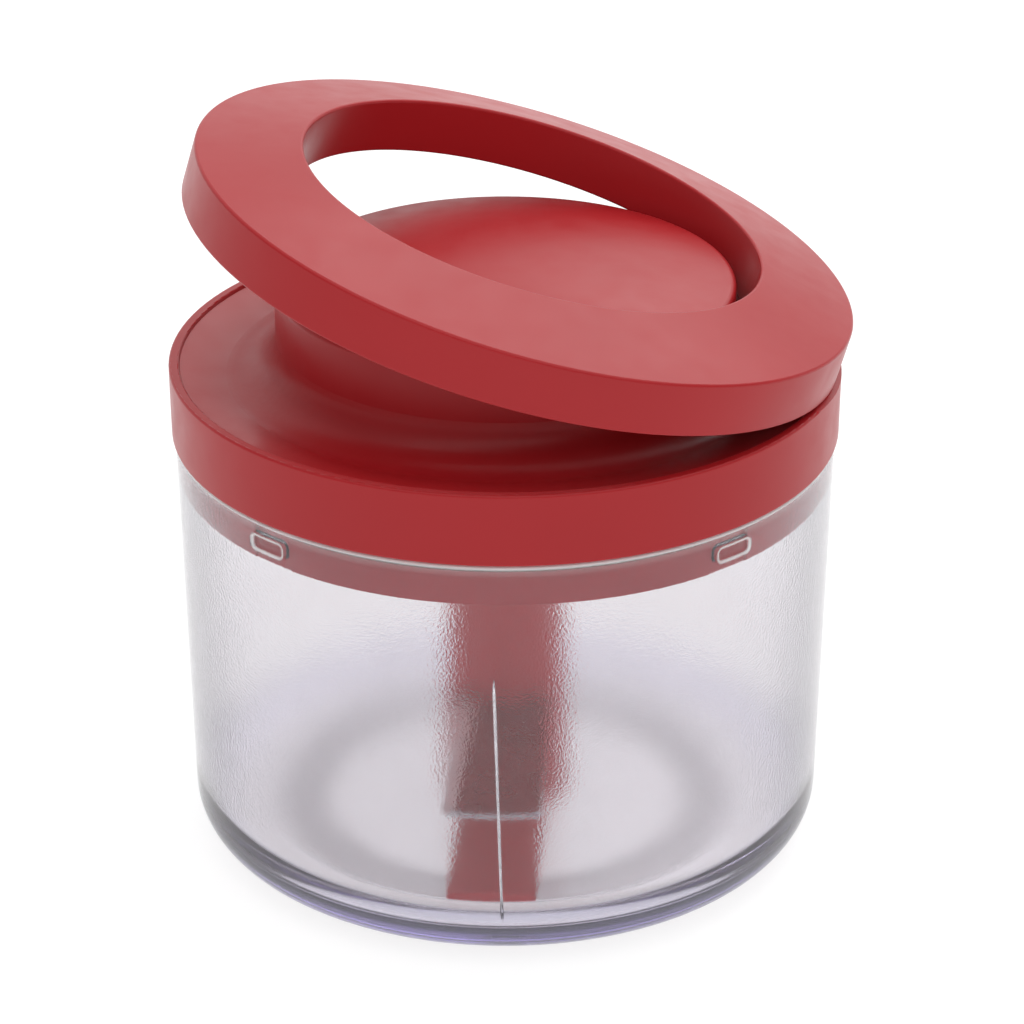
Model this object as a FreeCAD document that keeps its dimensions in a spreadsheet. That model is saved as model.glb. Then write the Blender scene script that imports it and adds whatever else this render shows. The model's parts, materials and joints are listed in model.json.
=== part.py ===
import FreeCAD, Part
import os, math
import Sketcher
from FreeCAD import Vector, Placement, Rotation

# Ring-lever food chopper: a frosted jar, a geared lid with a raised dome, a hinged
# ring that is pressed down round the dome, and a bladed stem that it turns.
# Millimetres, +Z up, origin on the table under the middle of the jar; the ring's
# hinge is on the +X side and the ring is modelled raised, its rest position.

doc = FreeCAD.newDocument("ring_lever_chopper")
sheet = doc.addObject("Spreadsheet::Sheet", "Params")

DIMS = [
    # jar
    ("jar_top", 87.0, "height of the jar's rim"),
    ("jar_rim_r", 65.2, "outer radius at the rim"),
    ("jar_foot_r", 63.3, "outer radius at the foot"),
    ("jar_corner", 10.0, "outer foot corner"),
    ("jar_wall", 2.4, "wall at the rim"),
    ("jar_inner_foot_r", 61.0, "inner radius at the floor"),
    ("jar_inner_corner", 9.0, "inner floor corner"),
    ("jar_floor", 5.8, "top of the floor"),
    ("jar_foot_z", 0.4, "underside of the jar"),
    ("grip_in", 37.0, "inner radius of the grip ring"),
    ("grip_out", 46.4, "outer radius of the grip ring"),
    ("grip_deep", 2.2, "thickness of the grip ring"),
    ("grip_gap", 0.05, "fit of the grip ring in its groove"),
    ("boss_r", 6.0, "pivot boss radius"),
    ("boss_top", 9.4, "top of the pivot boss"),
    ("pin_r", 2.5, "pivot pin radius"),
    ("pin_low", 3.4, "lower end of the pivot pin"),
    ("pin_top", 24.0, "top of the pivot pin"),
    ("key_wide", 8.6, "width of a rim key"),
    ("key_tall", 3.6, "height of a rim key"),
    ("key_z", 82.4, "middle height of the rim keys"),
    ("key_deep", 0.8, "how far a key stands in"),
    # lid
    ("lid_r", 66.0, "outer radius at the rim"),
    ("lid_low_r", 65.8, "outer radius at the seam"),
    ("lid_top", 101.8, "height of the rim"),
    ("seam_z", 87.3, "lower edge of the lid"),
    ("lid_wall", 2.2, "side wall"),
    ("rim_w", 1.9, "width of the rim's flat lip"),
    ("rim_step", 0.7, "step down inside the lip"),
    ("dish_z", 96.9, "height at which the dish's slope would meet the neck"),
    ("under_z", 99.0, "outer height of the dish's underside"),
    ("dish_thick", 2.0, "thickness of the dish and neck"),
    ("neck_r", 45.0, "outer radius of the neck"),
    ("neck_top", 115.3, "top of the neck"),
    ("flare", 8.0, "fillet between neck and dish"),
    ("dome_r", 45.0, "radius of the dome cap, flush with the neck"),
    ("dome_edge", 117.5, "height of the cap's edge"),
    ("dome_mid", 121.3, "height of the cap's middle"),
    ("dome_wall", 2.0, "thickness of the cap"),
    ("cap_low", 115.3, "lower edge of the cap, which sits on the neck"),
    ("spigot_low", 110.6, "lower edge of the cap's spigot"),
    ("skirt_r", 62.4, "outer radius of the skirt"),
    ("skirt_wall", 2.0, "skirt wall"),
    ("skirt_low", 78.0, "lower edge of the skirt"),
    ("skirt_top", 96.0, "upper edge of the skirt"),
    ("cover_low", 78.6, "underside of the under cover"),
    ("cover_top", 80.5, "upper side of the under cover"),
    ("seal_low", 85.1, "lower side of the seal"),
    ("seal_tall", 1.6, "height of the seal"),
    ("seal_out", 62.52, "outer radius of the seal"),
    ("seal_in", 61.15, "inner radius of the seal"),
    ("bush_r", 6.0, "outer radius of the shaft bush"),
    # ring lever (dimensions in its pressed position)
    ("ring_r", 66.2, "outer radius"),
    ("hole_r", 45.9, "radius of the hole"),
    ("ring_low", 102.1, "underside at the outer edge"),
    ("ring_in_low", 106.3, "underside at the hole"),
    ("ring_edge", 112.7, "outer top edge"),
    ("ring_crest", 117.5, "top edge at the hole"),
    ("ring_wall", 2.2, "wall"),
    ("hinge_x", 60.0, "hinge axis, X"),
    ("hinge_z", 105.5, "hinge axis, Z"),
    ("tilt", 16.0, "how far the ring stands up at rest, degrees"),
    ("hinge_pin_r", 1.5, "hinge pin radius"),
    ("hinge_pin_len", 35.4, "hinge pin length"),
    ("ear_r", 2.8, "radius of the hinge ears"),
    # gear train
    ("gear_mod", 1.0, "module"),
    ("sector_teeth", 76, "teeth of the sector as a full circle"),
    ("pinion_teeth", 12, "teeth of each pinion"),
    ("wheel_teeth", 24, "teeth of the wheel and of the crown"),
    ("mesh_angle", 12.0, "direction from hinge to first pinion, degrees below level"),
    ("lash", 0.10, "thinning of each tooth"),
    ("axle_r", 1.5, "gear axle radius"),
    ("cheek_in", 15.6, "inner side of the frame's cheeks, Y"),
    ("cheek_thick", 2.6, "thickness of a cheek"),
    ("frame_low", 80.9, "underside of the gear frame"),
    ("frame_floor", 82.9, "floor of the gear frame"),
    ("shaft_r", 3.5, "drive shaft radius"),
    ("run_fit", 0.05, "radial clearance of a running fit"),
    ("seat_fit", 0.03, "radial clearance of a fixed seat"),
    # stem and blades
    ("stem_r", 11.3, "stem radius"),
    ("stem_low", 6.2, "underside of the stem"),
    ("stem_top", 75.8, "top of the stem"),
    ("blade_reach", 50.0, "blade tip radius"),
    ("blade_wide", 19.0, "blade width"),
    ("blade_thick", 1.0, "blade thickness"),
    ("blade_droop", 7.0, "downward slope of the lower blade, degrees"),
    ("blade_turn", -3.3, "rest direction of the lower blade from -Y, degrees"),
    ("hex_flat", 11.0, "drive hexagon across flats"),
]
D = {}
for row, (alias, value, note) in enumerate(DIMS, start=1):
    sheet.set("A%d" % row, note)
    sheet.set("B%d" % row, str(value))
    sheet.setAlias("B%d" % row, alias)
    D[alias] = float(value)
doc.recompute()


def num(expr):
    """Value of a sum of terms such as "lid_r - 2*rim_w + 0.3"."""
    if isinstance(expr, (int, float)):
        return float(expr)
    total, sign = 0.0, 1.0
    for word in expr.split():
        if word in "+-":
            sign = 1.0 if word == "+" else -1.0
            continue
        value = 1.0
        for factor in word.split("*"):
            parts = factor.split("/")
            v = D[parts[0]] if parts[0] in D else float(parts[0])
            for p in parts[1:]:
                v /= D[p] if p in D else float(p)
            value *= v
        total += sign * value
    return total


def ref(expr):
    """The same sum as an expression on the sheet's cells."""
    if isinstance(expr, (int, float)):
        return None
    out = []
    for word in expr.split():
        if word in "+-":
            out.append(word)
            continue
        bits = []
        for factor in word.split("*"):
            bits.append("/".join("Params." + p if p in D else p for p in factor.split("/")))
        out.append("*".join(bits))
    return " ".join(out)


def bind(obj, prop, expr):
    e = ref(expr)
    if e:
        obj.setExpression(prop, e)


# ---------------------------------------------------------------- helpers
def origin_plane(body, role):
    for f in body.Origin.OriginFeatures:
        if f.Role == role:
            return f


def closed_sketch(body, name, plane, pts, arcs=None):
    """A closed profile through pts, each coordinate bound to the sheet. arcs names
    the segments (by their first point) that are arcs about a centre on the V axis,
    given as the height of the centre used to start the solver."""
    arcs = arcs or {}
    sk = body.newObject("Sketcher::SketchObject", name)
    sk.AttachmentSupport = [(origin_plane(body, plane), "")]
    sk.MapMode = "FlatFace"
    xy = [(num(a), num(b)) for a, b in pts]
    n = len(pts)
    ends = []
    for i in range(n):
        a, b = xy[i], xy[(i + 1) % n]
        if i in arcs:
            c = Vector(0, arcs[i], 0)
            r = math.hypot(a[0], a[1] - c.y)
            t0 = math.atan2(a[1] - c.y, a[0])
            t1 = math.atan2(b[1] - c.y, b[0])
            flip = t1 < t0
            if flip:
                t0, t1 = t1, t0
            sk.addGeometry(Part.ArcOfCircle(Part.Circle(c, Vector(0, 0, 1), r), t0, t1), False)
            ends.append((2, 1) if flip else (1, 2))
        else:
            sk.addGeometry(Part.LineSegment(Vector(a[0], a[1], 0), Vector(b[0], b[1], 0)), False)
            ends.append((1, 2))
    for i in range(n):
        j = (i + 1) % n
        sk.addConstraint(Sketcher.Constraint("Coincident", i, ends[i][1], j, ends[j][0]))
    for i in arcs:
        sk.addConstraint(Sketcher.Constraint("PointOnObject", i, 3, -2))
    for i in range(n):
        for k, (kind, axis) in enumerate((("DistanceX", -2), ("DistanceY", -1))):
            expr = pts[i][k]
            if abs(xy[i][k]) < 1e-9:
                sk.addConstraint(Sketcher.Constraint("PointOnObject", i, ends[i][0], axis))
                continue
            c = sk.addConstraint(Sketcher.Constraint(kind, -1, 1, i, ends[i][0], xy[i][k]))
            if ref(expr):
                sk.renameConstraint(c, "p%d_%s" % (i, "xy"[k]))
                sk.setExpression("Constraints.p%d_%s" % (i, "xy"[k]), ref(expr))
    return sk


def turned(label, pts, arcs=None):
    """A body turned about Z from a profile in the XZ plane."""
    body = doc.addObject("PartDesign::Body", label)
    sk = closed_sketch(body, label + "_profile", "XZ_Plane", pts, arcs)
    rev = body.newObject("PartDesign::Revolution", label + "_turn")
    rev.Profile = (sk, [""])
    rev.ReferenceAxis = (sk, ["V_Axis"])
    rev.Angle = 360.0
    sk.Visibility = False
    doc.recompute()
    return body


def rounded(body, wanted, name):
    """Fillet the circular edges given as (radius, height, fillet)."""
    for k, (r, z, f) in enumerate(wanted):
        tip = body.Tip
        names = []
        for i, e in enumerate(tip.Shape.Edges, start=1):
            if e.Degenerated:
                continue
            c = e.Curve
            if isinstance(c, Part.Circle) and abs(c.Radius - num(r)) < 0.01 and abs(c.Center.z - num(z)) < 0.01:
                names.append("Edge%d" % i)
        if not names:
            raise RuntimeError("no edge at %s %s on %s" % (r, z, body.Label))
        fil = body.newObject("PartDesign::Fillet", "%s_round%d" % (name, k))
        fil.Base = (tip, names)
        fil.Radius = num(f)
        bind(fil, "Radius", f)
        doc.recompute()
        if fil.Shape.isNull() or "Invalid" in fil.State:
            raise RuntimeError("fillet %s %s failed on %s" % (r, z, body.Label))
    return body


def padded(label, pts, low, high, plane="XY_Plane"):
    """A prism on the XY plane between two heights."""
    body = doc.addObject("PartDesign::Body", label)
    sk = closed_sketch(body, label + "_profile", plane, pts)
    pad = body.newObject("PartDesign::Pad", label + "_pad")
    pad.Profile = (sk, [""])
    pad.Length = num(high) - num(low)
    e = "%s - (%s)" % (ref(high) or high, ref(low) or low)
    pad.setExpression("Length", e)
    sk.AttachmentOffset = Placement(Vector(0, 0, num(low)), Rotation())
    if ref(low):
        sk.setExpression("AttachmentOffset.Base.z", ref(low))
    sk.Visibility = False
    doc.recompute()
    return body


def place(obj, pos, rot):
    obj.Placement = Placement(Vector(*[num(p) for p in pos]), rot)
    for k, p in zip("xyz", pos):
        if ref(p):
            obj.setExpression("Placement.Base." + k, ref(p))
    return obj


ALONG = {
    "Z": Rotation(),
    "Y": Rotation(Vector(1, 0, 0), -90),
    "X": Rotation(Vector(0, 1, 0), 90),
}


def rod(name, r, length, pos, along="Z"):
    c = doc.addObject("Part::Cylinder", name)
    c.Radius, c.Height = num(r), num(length)
    bind(c, "Radius", r)
    bind(c, "Height", length)
    return place(c, pos, ALONG[along])


def taper(name, r1, r2, length, pos, along="Z"):
    c = doc.addObject("Part::Cone", name)
    c.Radius1, c.Radius2, c.Height = num(r1), num(r2), num(length)
    bind(c, "Radius1", r1)
    bind(c, "Radius2", r2)
    bind(c, "Height", length)
    return place(c, pos, ALONG[along])


def block(name, size, pos, rot=None):
    b = doc.addObject("Part::Box", name)
    b.Length, b.Width, b.Height = [num(v) for v in size]
    for p, v in zip(("Length", "Width", "Height"), size):
        bind(b, p, v)
    return place(b, pos, rot or Rotation())


def made(name, shape):
    f = doc.addObject("Part::Feature", name)
    f.Shape = shape
    return f


def joined(name, parts):
    f = doc.addObject("Part::MultiFuse", name)
    f.Shapes = parts
    f.Refine = True
    doc.recompute()
    return f


def cut(name, base, tools):
    if len(tools) > 1:
        tool = doc.addObject("Part::Compound", name + "_tools")
        tool.Links = tools
        doc.recompute()
        if len(tool.Shape.Solids) > 1:
            tool2 = doc.addObject("Part::MultiFuse", name + "_tool")
            tool2.Shapes = tools
            tool = tool2
    else:
        tool = tools[0]
    doc.recompute()
    c = doc.addObject("Part::Cut", name)
    c.Base, c.Tool = base, tool
    doc.recompute()
    if c.Shape.Volume > base.Shape.Volume - 1e-6:
        raise RuntimeError("%s removed nothing" % name)
    return c


def compound(name, parts):
    f = doc.addObject("Part::Compound", name)
    f.Links = parts
    doc.recompute()
    return f


def polar(name, make, angles, r, z=0.0):
    """Copies of make(k, x, y, angle) round the axis."""
    return [make("%s%d" % (name, k), r * math.cos(math.radians(a)), r * math.sin(math.radians(a)), a) for k, a in enumerate(angles)]


NODES = []


def node(obj, label, placement=None):
    obj.Label = label
    if placement is not None:
        obj.Placement = placement.multiply(obj.Placement)
    NODES.append((label, obj))
    return obj


HX, HZ = D["hinge_x"], D["hinge_z"]
HINGE = Vector(HX, 0, HZ)
# the raised ring: everything on the lever turns about the hinge by the tilt
RAISED = Placement(Vector(0, 0, 0), Rotation(Vector(0, 1, 0), D["tilt"]), HINGE)

# ---------------------------------------------------------------- jar
jar_body = turned(
    "jar_turned",
    [
        (0, "jar_foot_z"),
        ("grip_in - grip_gap", "jar_foot_z"),
        ("grip_in - grip_gap", "grip_deep + grip_gap"),
        ("grip_out + grip_gap", "grip_deep + grip_gap"),
        ("grip_out + grip_gap", "jar_foot_z"),
        ("jar_foot_r", "jar_foot_z"),
        ("jar_rim_r", "jar_top"),
        ("jar_rim_r - jar_wall", "jar_top"),
        ("jar_inner_foot_r", "jar_floor"),
        ("boss_r", "jar_floor"),
        ("boss_r - 0.6", "boss_top"),
        (0, "boss_top"),
    ],
)
rounded(
    jar_body,
    [
        ("jar_foot_r", "jar_foot_z", "jar_corner"),
        ("jar_inner_foot_r", "jar_floor", "jar_inner_corner"),
        ("boss_r", "jar_floor", 1.2),
        ("boss_r - 0.6", "boss_top", 0.6),
        ("jar_rim_r", "jar_top", 0.7),
        ("jar_rim_r - jar_wall", "jar_top", 0.5),
    ],
    "jar",
)
doc.recompute()


def wall_r(z, inner=True):
    """Radius of the jar's wall at a height."""
    if inner:
        a, b, z0 = D["jar_inner_foot_r"], D["jar_rim_r"] - D["jar_wall"], D["jar_floor"]
    else:
        a, b, z0 = D["jar_foot_r"], D["jar_rim_r"], D["jar_foot_z"]
    return a + (b - a) * (z - z0) / (D["jar_top"] - z0)


def rounded_slab(wide, tall, r, x0, x1):
    """A slab with a rounded-rectangle outline in YZ, from X = x0 to x1."""
    a, b = wide / 2.0, tall / 2.0
    s = math.sqrt(0.5) * r
    w = Part.Wire(
        [
            Part.LineSegment(Vector(x0, -a + r, -b), Vector(x0, a - r, -b)).toShape(),
            Part.Arc(Vector(x0, a - r, -b), Vector(x0, a - r + s, -b + r - s), Vector(x0, a, -b + r)).toShape(),
            Part.LineSegment(Vector(x0, a, -b + r), Vector(x0, a, b - r)).toShape(),
            Part.Arc(Vector(x0, a, b - r), Vector(x0, a - r + s, b - r + s), Vector(x0, a - r, b)).toShape(),
            Part.LineSegment(Vector(x0, a - r, b), Vector(x0, -a + r, b)).toShape(),
            Part.Arc(Vector(x0, -a + r, b), Vector(x0, -a + r - s, b - r + s), Vector(x0, -a, b - r)).toShape(),
            Part.LineSegment(Vector(x0, -a, b - r), Vector(x0, -a, -b + r)).toShape(),
            Part.Arc(Vector(x0, -a, -b + r), Vector(x0, -a + r - s, -b + r - s), Vector(x0, -a + r, -b)).toShape(),
        ]
    )
    return Part.Face(w).extrude(Vector(x1 - x0, 0, 0))


KEYS = [46.3, 131.4, 226.3, 311.4]
key_tools, key_pads = [], []
ri, ro = wall_r(D["key_z"]), wall_r(D["key_z"], False)
for k, a in enumerate(KEYS):
    spin = Placement(Vector(0, 0, D["key_z"]), Rotation(Vector(0, 0, 1), a))
    pad = made("rim_key%d" % k, rounded_slab(D["key_wide"], D["key_tall"], 1.2, ri - D["key_deep"], ri + 0.9))
    pad.Placement = spin
    key_pads.append(pad)
    dent = made("rim_dent%d" % k, rounded_slab(D["key_wide"] - 1.0, D["key_tall"] - 1.0, 0.9, ro - 0.4, ro + 2))
    dent.Placement = spin
    key_tools.append(dent)

# slim upright ribs inside the wall, which stop the food from turning with the blades
RIB_TOP, RIB_LOW = 63.3, 7.0


def rib_shape(turn_top, turn_low):
    def section(z, turn, tall):
        r = wall_r(z)
        t = math.radians(turn)
        out = Vector(math.cos(t), math.sin(t), 0)
        side = Vector(-math.sin(t), math.cos(t), 0)
        o = out * r + Vector(0, 0, z)
        return Part.makePolygon([o + out * 0.5 + side * 0.3 * tall, o - out * 0.36 * tall, o + out * 0.5 - side * 0.3 * tall, o + out * 0.5 + side * 0.3 * tall])

    zt = RIB_TOP - 5.0
    f = (RIB_TOP - zt) / (RIB_TOP - RIB_LOW)
    mid = turn_top + (turn_low - turn_top) * f
    body = Part.makeLoft([section(RIB_LOW, turn_low, 1.0), section(zt, mid, 1.0)], True, True)
    nib = Part.makeLoft([section(zt, mid, 1.0), section(RIB_TOP, turn_top, 0.08)], True, True)
    return body.fuse(nib).removeSplitter()


ribs = []
for k, a in enumerate((-90, 30, 150)):
    ribs.append(made("jar_rib%d" % k, rib_shape(a - 2.06, a - 0.57)))
jar_plus = joined("jar_with_keys", [jar_body] + key_pads + ribs)
pin_seat = rod("pin_seat", "pin_r + seat_fit", "boss_top - pin_low + 1", (0, 0, "pin_low"))
jar = cut("jar_cut", jar_plus, key_tools + [pin_seat])
node(jar, "jar")

grip = cut(
    "grip_cut",
    rod("grip_disc", "grip_out", "grip_deep", (0, 0, 0)),
    [rod("grip_hole", "grip_in", "grip_deep + 2", (0, 0, -1))],
)
# fine grooves under the grip ring
groove_tools = []
for k, r in enumerate((39.4, 41.7, 44.0)):
    t = doc.addObject("Part::Torus", "grip_groove%d" % k)
    t.Radius1, t.Radius2 = r, 0.5
    groove_tools.append(t)
grip = cut("grip_grooved", grip, groove_tools)
node(grip, "base_grip_ring")

pin_body = turned(
    "pivot_pin_turned",
    [(0, "pin_low + 0.1"), ("pin_r", "pin_low + 0.1"), ("pin_r", "pin_top"), (0, "pin_top")],
)
rounded(pin_body, [("pin_r", "pin_top", 1.2)], "pin")
node(pin_body, "pivot_pin")

# ---------------------------------------------------------------- lid shell
shell = turned(
    "lid_shell_turned",
    [
        ("lid_low_r", "seam_z"),
        ("lid_r", "lid_top"),
        ("lid_r - rim_w", "lid_top"),
        ("lid_r - rim_w - 0.3", "lid_top - rim_step"),
        ("neck_r", "dish_z"),
        ("neck_r", "neck_top"),
        ("neck_r - dish_thick", "neck_top"),
        ("neck_r - dish_thick", "dish_z - dish_thick - 0.7"),
        ("lid_low_r - lid_wall - 0.4", "under_z"),
        ("lid_low_r - lid_wall", "seam_z"),
    ],
)
rounded(
    shell,
    [
        ("neck_r", "dish_z", "flare"),
        ("lid_r", "lid_top", 0.5),
        ("lid_r - rim_w", "lid_top", 0.35),
        ("lid_low_r", "seam_z", 0.5),
    ],
    "shell",
)
doc.recompute()

# bosses inside the neck that carry the gear frame, and bosses under the dish for
# the screws of the under cover
FRAME_SCREWS = [(32.8, 22.9), (32.8, -22.9), (-32.8, 22.9), (-32.8, -22.9)]
COVER_R, COVER_TURN = 55.0, (45, 135, 225, 315)
frame_bosses = [rod("frame_boss%d" % k, 3.8, 19.9, (x, y, 88.6)) for k, (x, y) in enumerate(FRAME_SCREWS)]
cover_bosses = polar("cover_boss", lambda n, x, y, a: rod(n, 3.2, 16.4, (x, y, 81.0)), COVER_TURN, COVER_R)


def xz_prism(pts, y0, y1):
    w = Part.makePolygon([Vector(x, y0, z) for x, z in pts + [pts[0]]])
    return Part.Face(w).extrude(Vector(0, y1 - y0, 0))


def ear_shape(y0, y1):
    foot = xz_prism([(53.6, 97.2), (60.6, 97.2), (61.3, 103.4), (60.0, 105.5), (57.5, 104.2)], y0, y1)
    eye = Part.makeCylinder(D["ear_r"], y1 - y0, Vector(HX, y0, HZ), Vector(0, 1, 0))
    return foot.fuse(eye).removeSplitter()


ears = [made("hinge_ear0", ear_shape(9.6, 13.4)), made("hinge_ear1", ear_shape(-13.4, -9.6))]
shell_plus = joined("lid_shell_joined", [shell] + frame_bosses + cover_bosses + ears)
relief = made("hinge_relief", Part.makeBox(18, 64, 9, Vector(HX, -32, D["ring_low"] - 0.4)))
relief.Placement = RAISED.multiply(relief.Placement)
arm_slot = block("arm_slot", (21.6, 9.6, 17.4), (33.8, -4.8, 92.4))
ear_bore = rod("ear_bore", "hinge_pin_r + run_fit", 40, ("hinge_x", -20, "hinge_z"), "Y")
frame_pilots = [rod("frame_pilot%d" % k, 1.13, 10, (x, y, 88.0)) for k, (x, y) in enumerate(FRAME_SCREWS)]
cover_pilots = polar("cover_pilot", lambda n, x, y, a: rod(n, 1.13, 12, (x, y, 80.0)), COVER_TURN, COVER_R)
# room for the skirt where the bosses stand
lid_shell = cut("lid_shell_cut", shell_plus, [relief, arm_slot, ear_bore] + frame_pilots + cover_pilots)
node(lid_shell, "lid_shell")

dome = turned(
    "dome_cap_turned",
    [
        (0, "dome_mid"),
        ("dome_r", "dome_edge"),
        ("dome_r", "cap_low"),
        ("dome_r - 2.1", "cap_low"),
        ("dome_r - 2.1", "spigot_low"),
        ("dome_r - 3.9", "spigot_low"),
        ("dome_r - 3.9", "dome_edge - dome_wall"),
        (0, "dome_mid - dome_wall"),
    ],
    arcs={0: -161.0, 6: -150.0},
)
rounded(dome, [("dome_r", "dome_edge", 1.2)], "dome")
node(dome, "dome_cap")

# under cover with the skirt that plugs the jar
cover = turned(
    "under_cover_turned",
    [
        ("bush_r + seat_fit", "cover_low"),
        ("skirt_r - skirt_wall - 0.9", "cover_low"),
        ("skirt_r - skirt_wall", "skirt_low"),
        ("skirt_r - 0.15", "skirt_low"),
        ("skirt_r", "seal_low - 0.08"),
        ("seal_in - 0.03", "seal_low - 0.08"),
        ("seal_in - 0.03", "seal_low + seal_tall + 0.08"),
        ("skirt_r", "seal_low + seal_tall + 0.08"),
        ("skirt_r", "skirt_top"),
        ("seal_in - 0.75", "skirt_top"),
        ("seal_in - 0.75", "cover_top"),
        ("bush_r + seat_fit", "cover_top"),
    ],
)
rounded(cover, [("skirt_r - 0.15", "skirt_low", 0.6)], "cover")
key_ways = []
for k, a in enumerate(KEYS):
    g = made("key_way%d" % k, Part.makeBox(4, D["key_wide"] + 0.8, 8.2, Vector(61.55, -(D["key_wide"] + 0.8) / 2, 76.9)))
    g.Placement = Placement(Vector(), Rotation(Vector(0, 0, 1), a))
    key_ways.append(g)
cover_holes = polar("cover_hole", lambda n, x, y, a: rod(n, 1.45, 4, (x, y, 78.0)), COVER_TURN, COVER_R)
cover_sinks = polar("cover_sink", lambda n, x, y, a: taper(n, 2.75, 1.25, 1.5, (x, y, 78.55)), COVER_TURN, COVER_R)
under_cover = cut("under_cover_cut", cover, key_ways + cover_holes + cover_sinks)
node(under_cover, "under_cover")

seal = turned(
    "lid_seal_turned",
    [
        ("seal_in", "seal_low"),
        ("seal_out - 0.35", "seal_low"),
        ("seal_out", "seal_low + 0.8"),
        ("seal_out - 0.35", "seal_low + seal_tall"),
        ("seal_in", "seal_low + seal_tall"),
    ],
)
node(seal, "lid_seal")


def screw_shape(head_r, head_h, shank_r, length, sunk=False):
    """A screw pointing up, its head's underside at z = 0 (or its top face if sunk)."""
    if sunk:
        head = Part.makeCone(head_r, shank_r, head_h, Vector(0, 0, 0))
        body = head.fuse(Part.makeCylinder(shank_r, length, Vector(0, 0, 0)))
        z = 0.0
    else:
        head = Part.makeCylinder(head_r, head_h, Vector(0, 0, -head_h))
        ring = [e for e in head.Edges if abs(e.BoundBox.ZMax + head_h) < 1e-6 and isinstance(e.Curve, Part.Circle)]
        head = head.makeFillet(min(0.5, head_h * 0.4), ring)
        body = head.fuse(Part.makeCylinder(shank_r, length, Vector(0, 0, 0)))
        z = -head_h
    bar = Part.makeBox(2.2, 0.5, 0.9, Vector(-1.1, -0.25, z - 0.1))
    cross = bar.fuse(Part.makeBox(0.5, 2.2, 0.9, Vector(-0.25, -1.1, z - 0.1)))
    return body.cut(cross).removeSplitter()


def screw_group(name, shape, places):
    out = []
    for k, (x, y, z, a) in enumerate(places):
        f = made("%s%d" % (name, k), shape)
        f.Placement = Placement(Vector(x, y, z), Rotation(Vector(0, 0, 1), a))
        out.append(f)
    return compound(name, out)


cs = screw_shape(2.6, 1.4, 1.1, 9.5, True)
node(
    screw_group("cover_screw_set", cs, [(COVER_R * math.cos(math.radians(a)), COVER_R * math.sin(math.radians(a)), 78.62, a + 20 * k) for k, a in enumerate(COVER_TURN)]),
    "cover_screws",
)

# ---------------------------------------------------------------- gear profiles
def involute_points(rb, r0, r1, n=5):
    """(radius, angle) along an involute of base radius rb."""
    out = []
    for i in range(n):
        r = r0 + (r1 - r0) * i / (n - 1.0)
        a = math.acos(min(1.0, rb / r))
        out.append((r, math.tan(a) - a))
    return out


def gear_wire(teeth, m, add, ded, lash, first=0.0, count=None, inner=None):
    """Outline of an external gear in XY, a tooth centred on angle first. With count
    it is a sector of that many teeth closed along the radius inner."""
    rp = teeth * m / 2.0
    rb = rp * math.cos(math.radians(20))
    ra, rf = rp + add, rp - ded
    ap = math.acos(rb / rp)
    half = (math.pi * m / 2 - lash) / (2 * rp)
    inv = math.tan(ap) - ap
    flank = involute_points(rb, max(rb, rf), ra)
    side = [(rf, half + inv - 0.0)] if rb > rf else []
    side += [(r, half + inv - a) for r, a in flank]
    pts = []
    n = count or teeth
    for k in range(n):
        c = math.radians(first) + 2 * math.pi * (k - (n - 1) / 2.0 if count else k) / teeth
        for r, a in side:
            pts.append((r, c - a))
        for r, a in reversed(side):
            pts.append((r, c + a))
    xy = [Vector(r * math.cos(a), r * math.sin(a), 0) for r, a in pts]
    if count:
        a0, a1 = pts[0][1] - math.pi / teeth * 0.5, pts[-1][1] + math.pi / teeth * 0.5
        xy = [Vector(rf * math.cos(a0), rf * math.sin(a0), 0)] + xy + [Vector(rf * math.cos(a1), rf * math.sin(a1), 0)]
        steps = 8
        for i in range(steps + 1):
            a = a1 + (a0 - a1) * i / steps
            xy.append(Vector(inner * math.cos(a), inner * math.sin(a), 0))
    return xy


def prism(points, z0, z1):
    w = Part.makePolygon(points + [points[0]])
    f = Part.Face(w)
    s = f.extrude(Vector(0, 0, z1 - z0))
    s.translate(Vector(0, 0, z0))
    return s


def to_xz(shape, x, z, flip=False):
    """Stand a shape made about Z on a Y axis through (x, z): its X stays X, its Y
    becomes Z and its Z becomes -Y."""
    s = shape.copy()
    s.rotate(Vector(0, 0, 0), Vector(1, 0, 0), 90)
    s.translate(Vector(x, 0, z))
    return s


M = D["gear_mod"]
NS, NP, NW = int(D["sector_teeth"]), int(D["pinion_teeth"]), int(D["wheel_teeth"])
RS, RP, RW = NS * M / 2, NP * M / 2, NW * M / 2
LASH = D["lash"]
ADD_BIG, ADD_PIN, DED_BIG, DED_PIN = 0.70 * M, 0.90 * M, 1.20 * M, 1.05 * M
mesh = math.radians(180 + D["mesh_angle"])
AX = HX + (RS + RP) * math.cos(mesh)
AZ = HZ + (RS + RP) * math.sin(mesh)
BX = 0.0
BZ = AZ + math.sqrt((RW + RP) ** 2 - (AX - BX) ** 2)
TILT = D["tilt"]

# ------- first pinion and wheel in one moulding, on axle A
# a tooth space of the pinion faces the hinge at rest
toward_hinge = math.degrees(math.atan2(HZ - AZ, HX - AX))
p1 = prism(gear_wire(NP, M, ADD_PIN, DED_PIN, LASH, toward_hinge + 180.0 / NP), -4.0, 4.0)
toward_b = math.degrees(math.atan2(BZ - AZ, BX - AX))
w1 = prism(gear_wire(NW, M, ADD_BIG, DED_BIG, LASH, toward_b), 6.0, 11.0)
hub1 = Part.makeCylinder(3.6, 18.6, Vector(0, 0, -4.6))
cluster = p1.fuse([w1, hub1]).removeSplitter()
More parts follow.
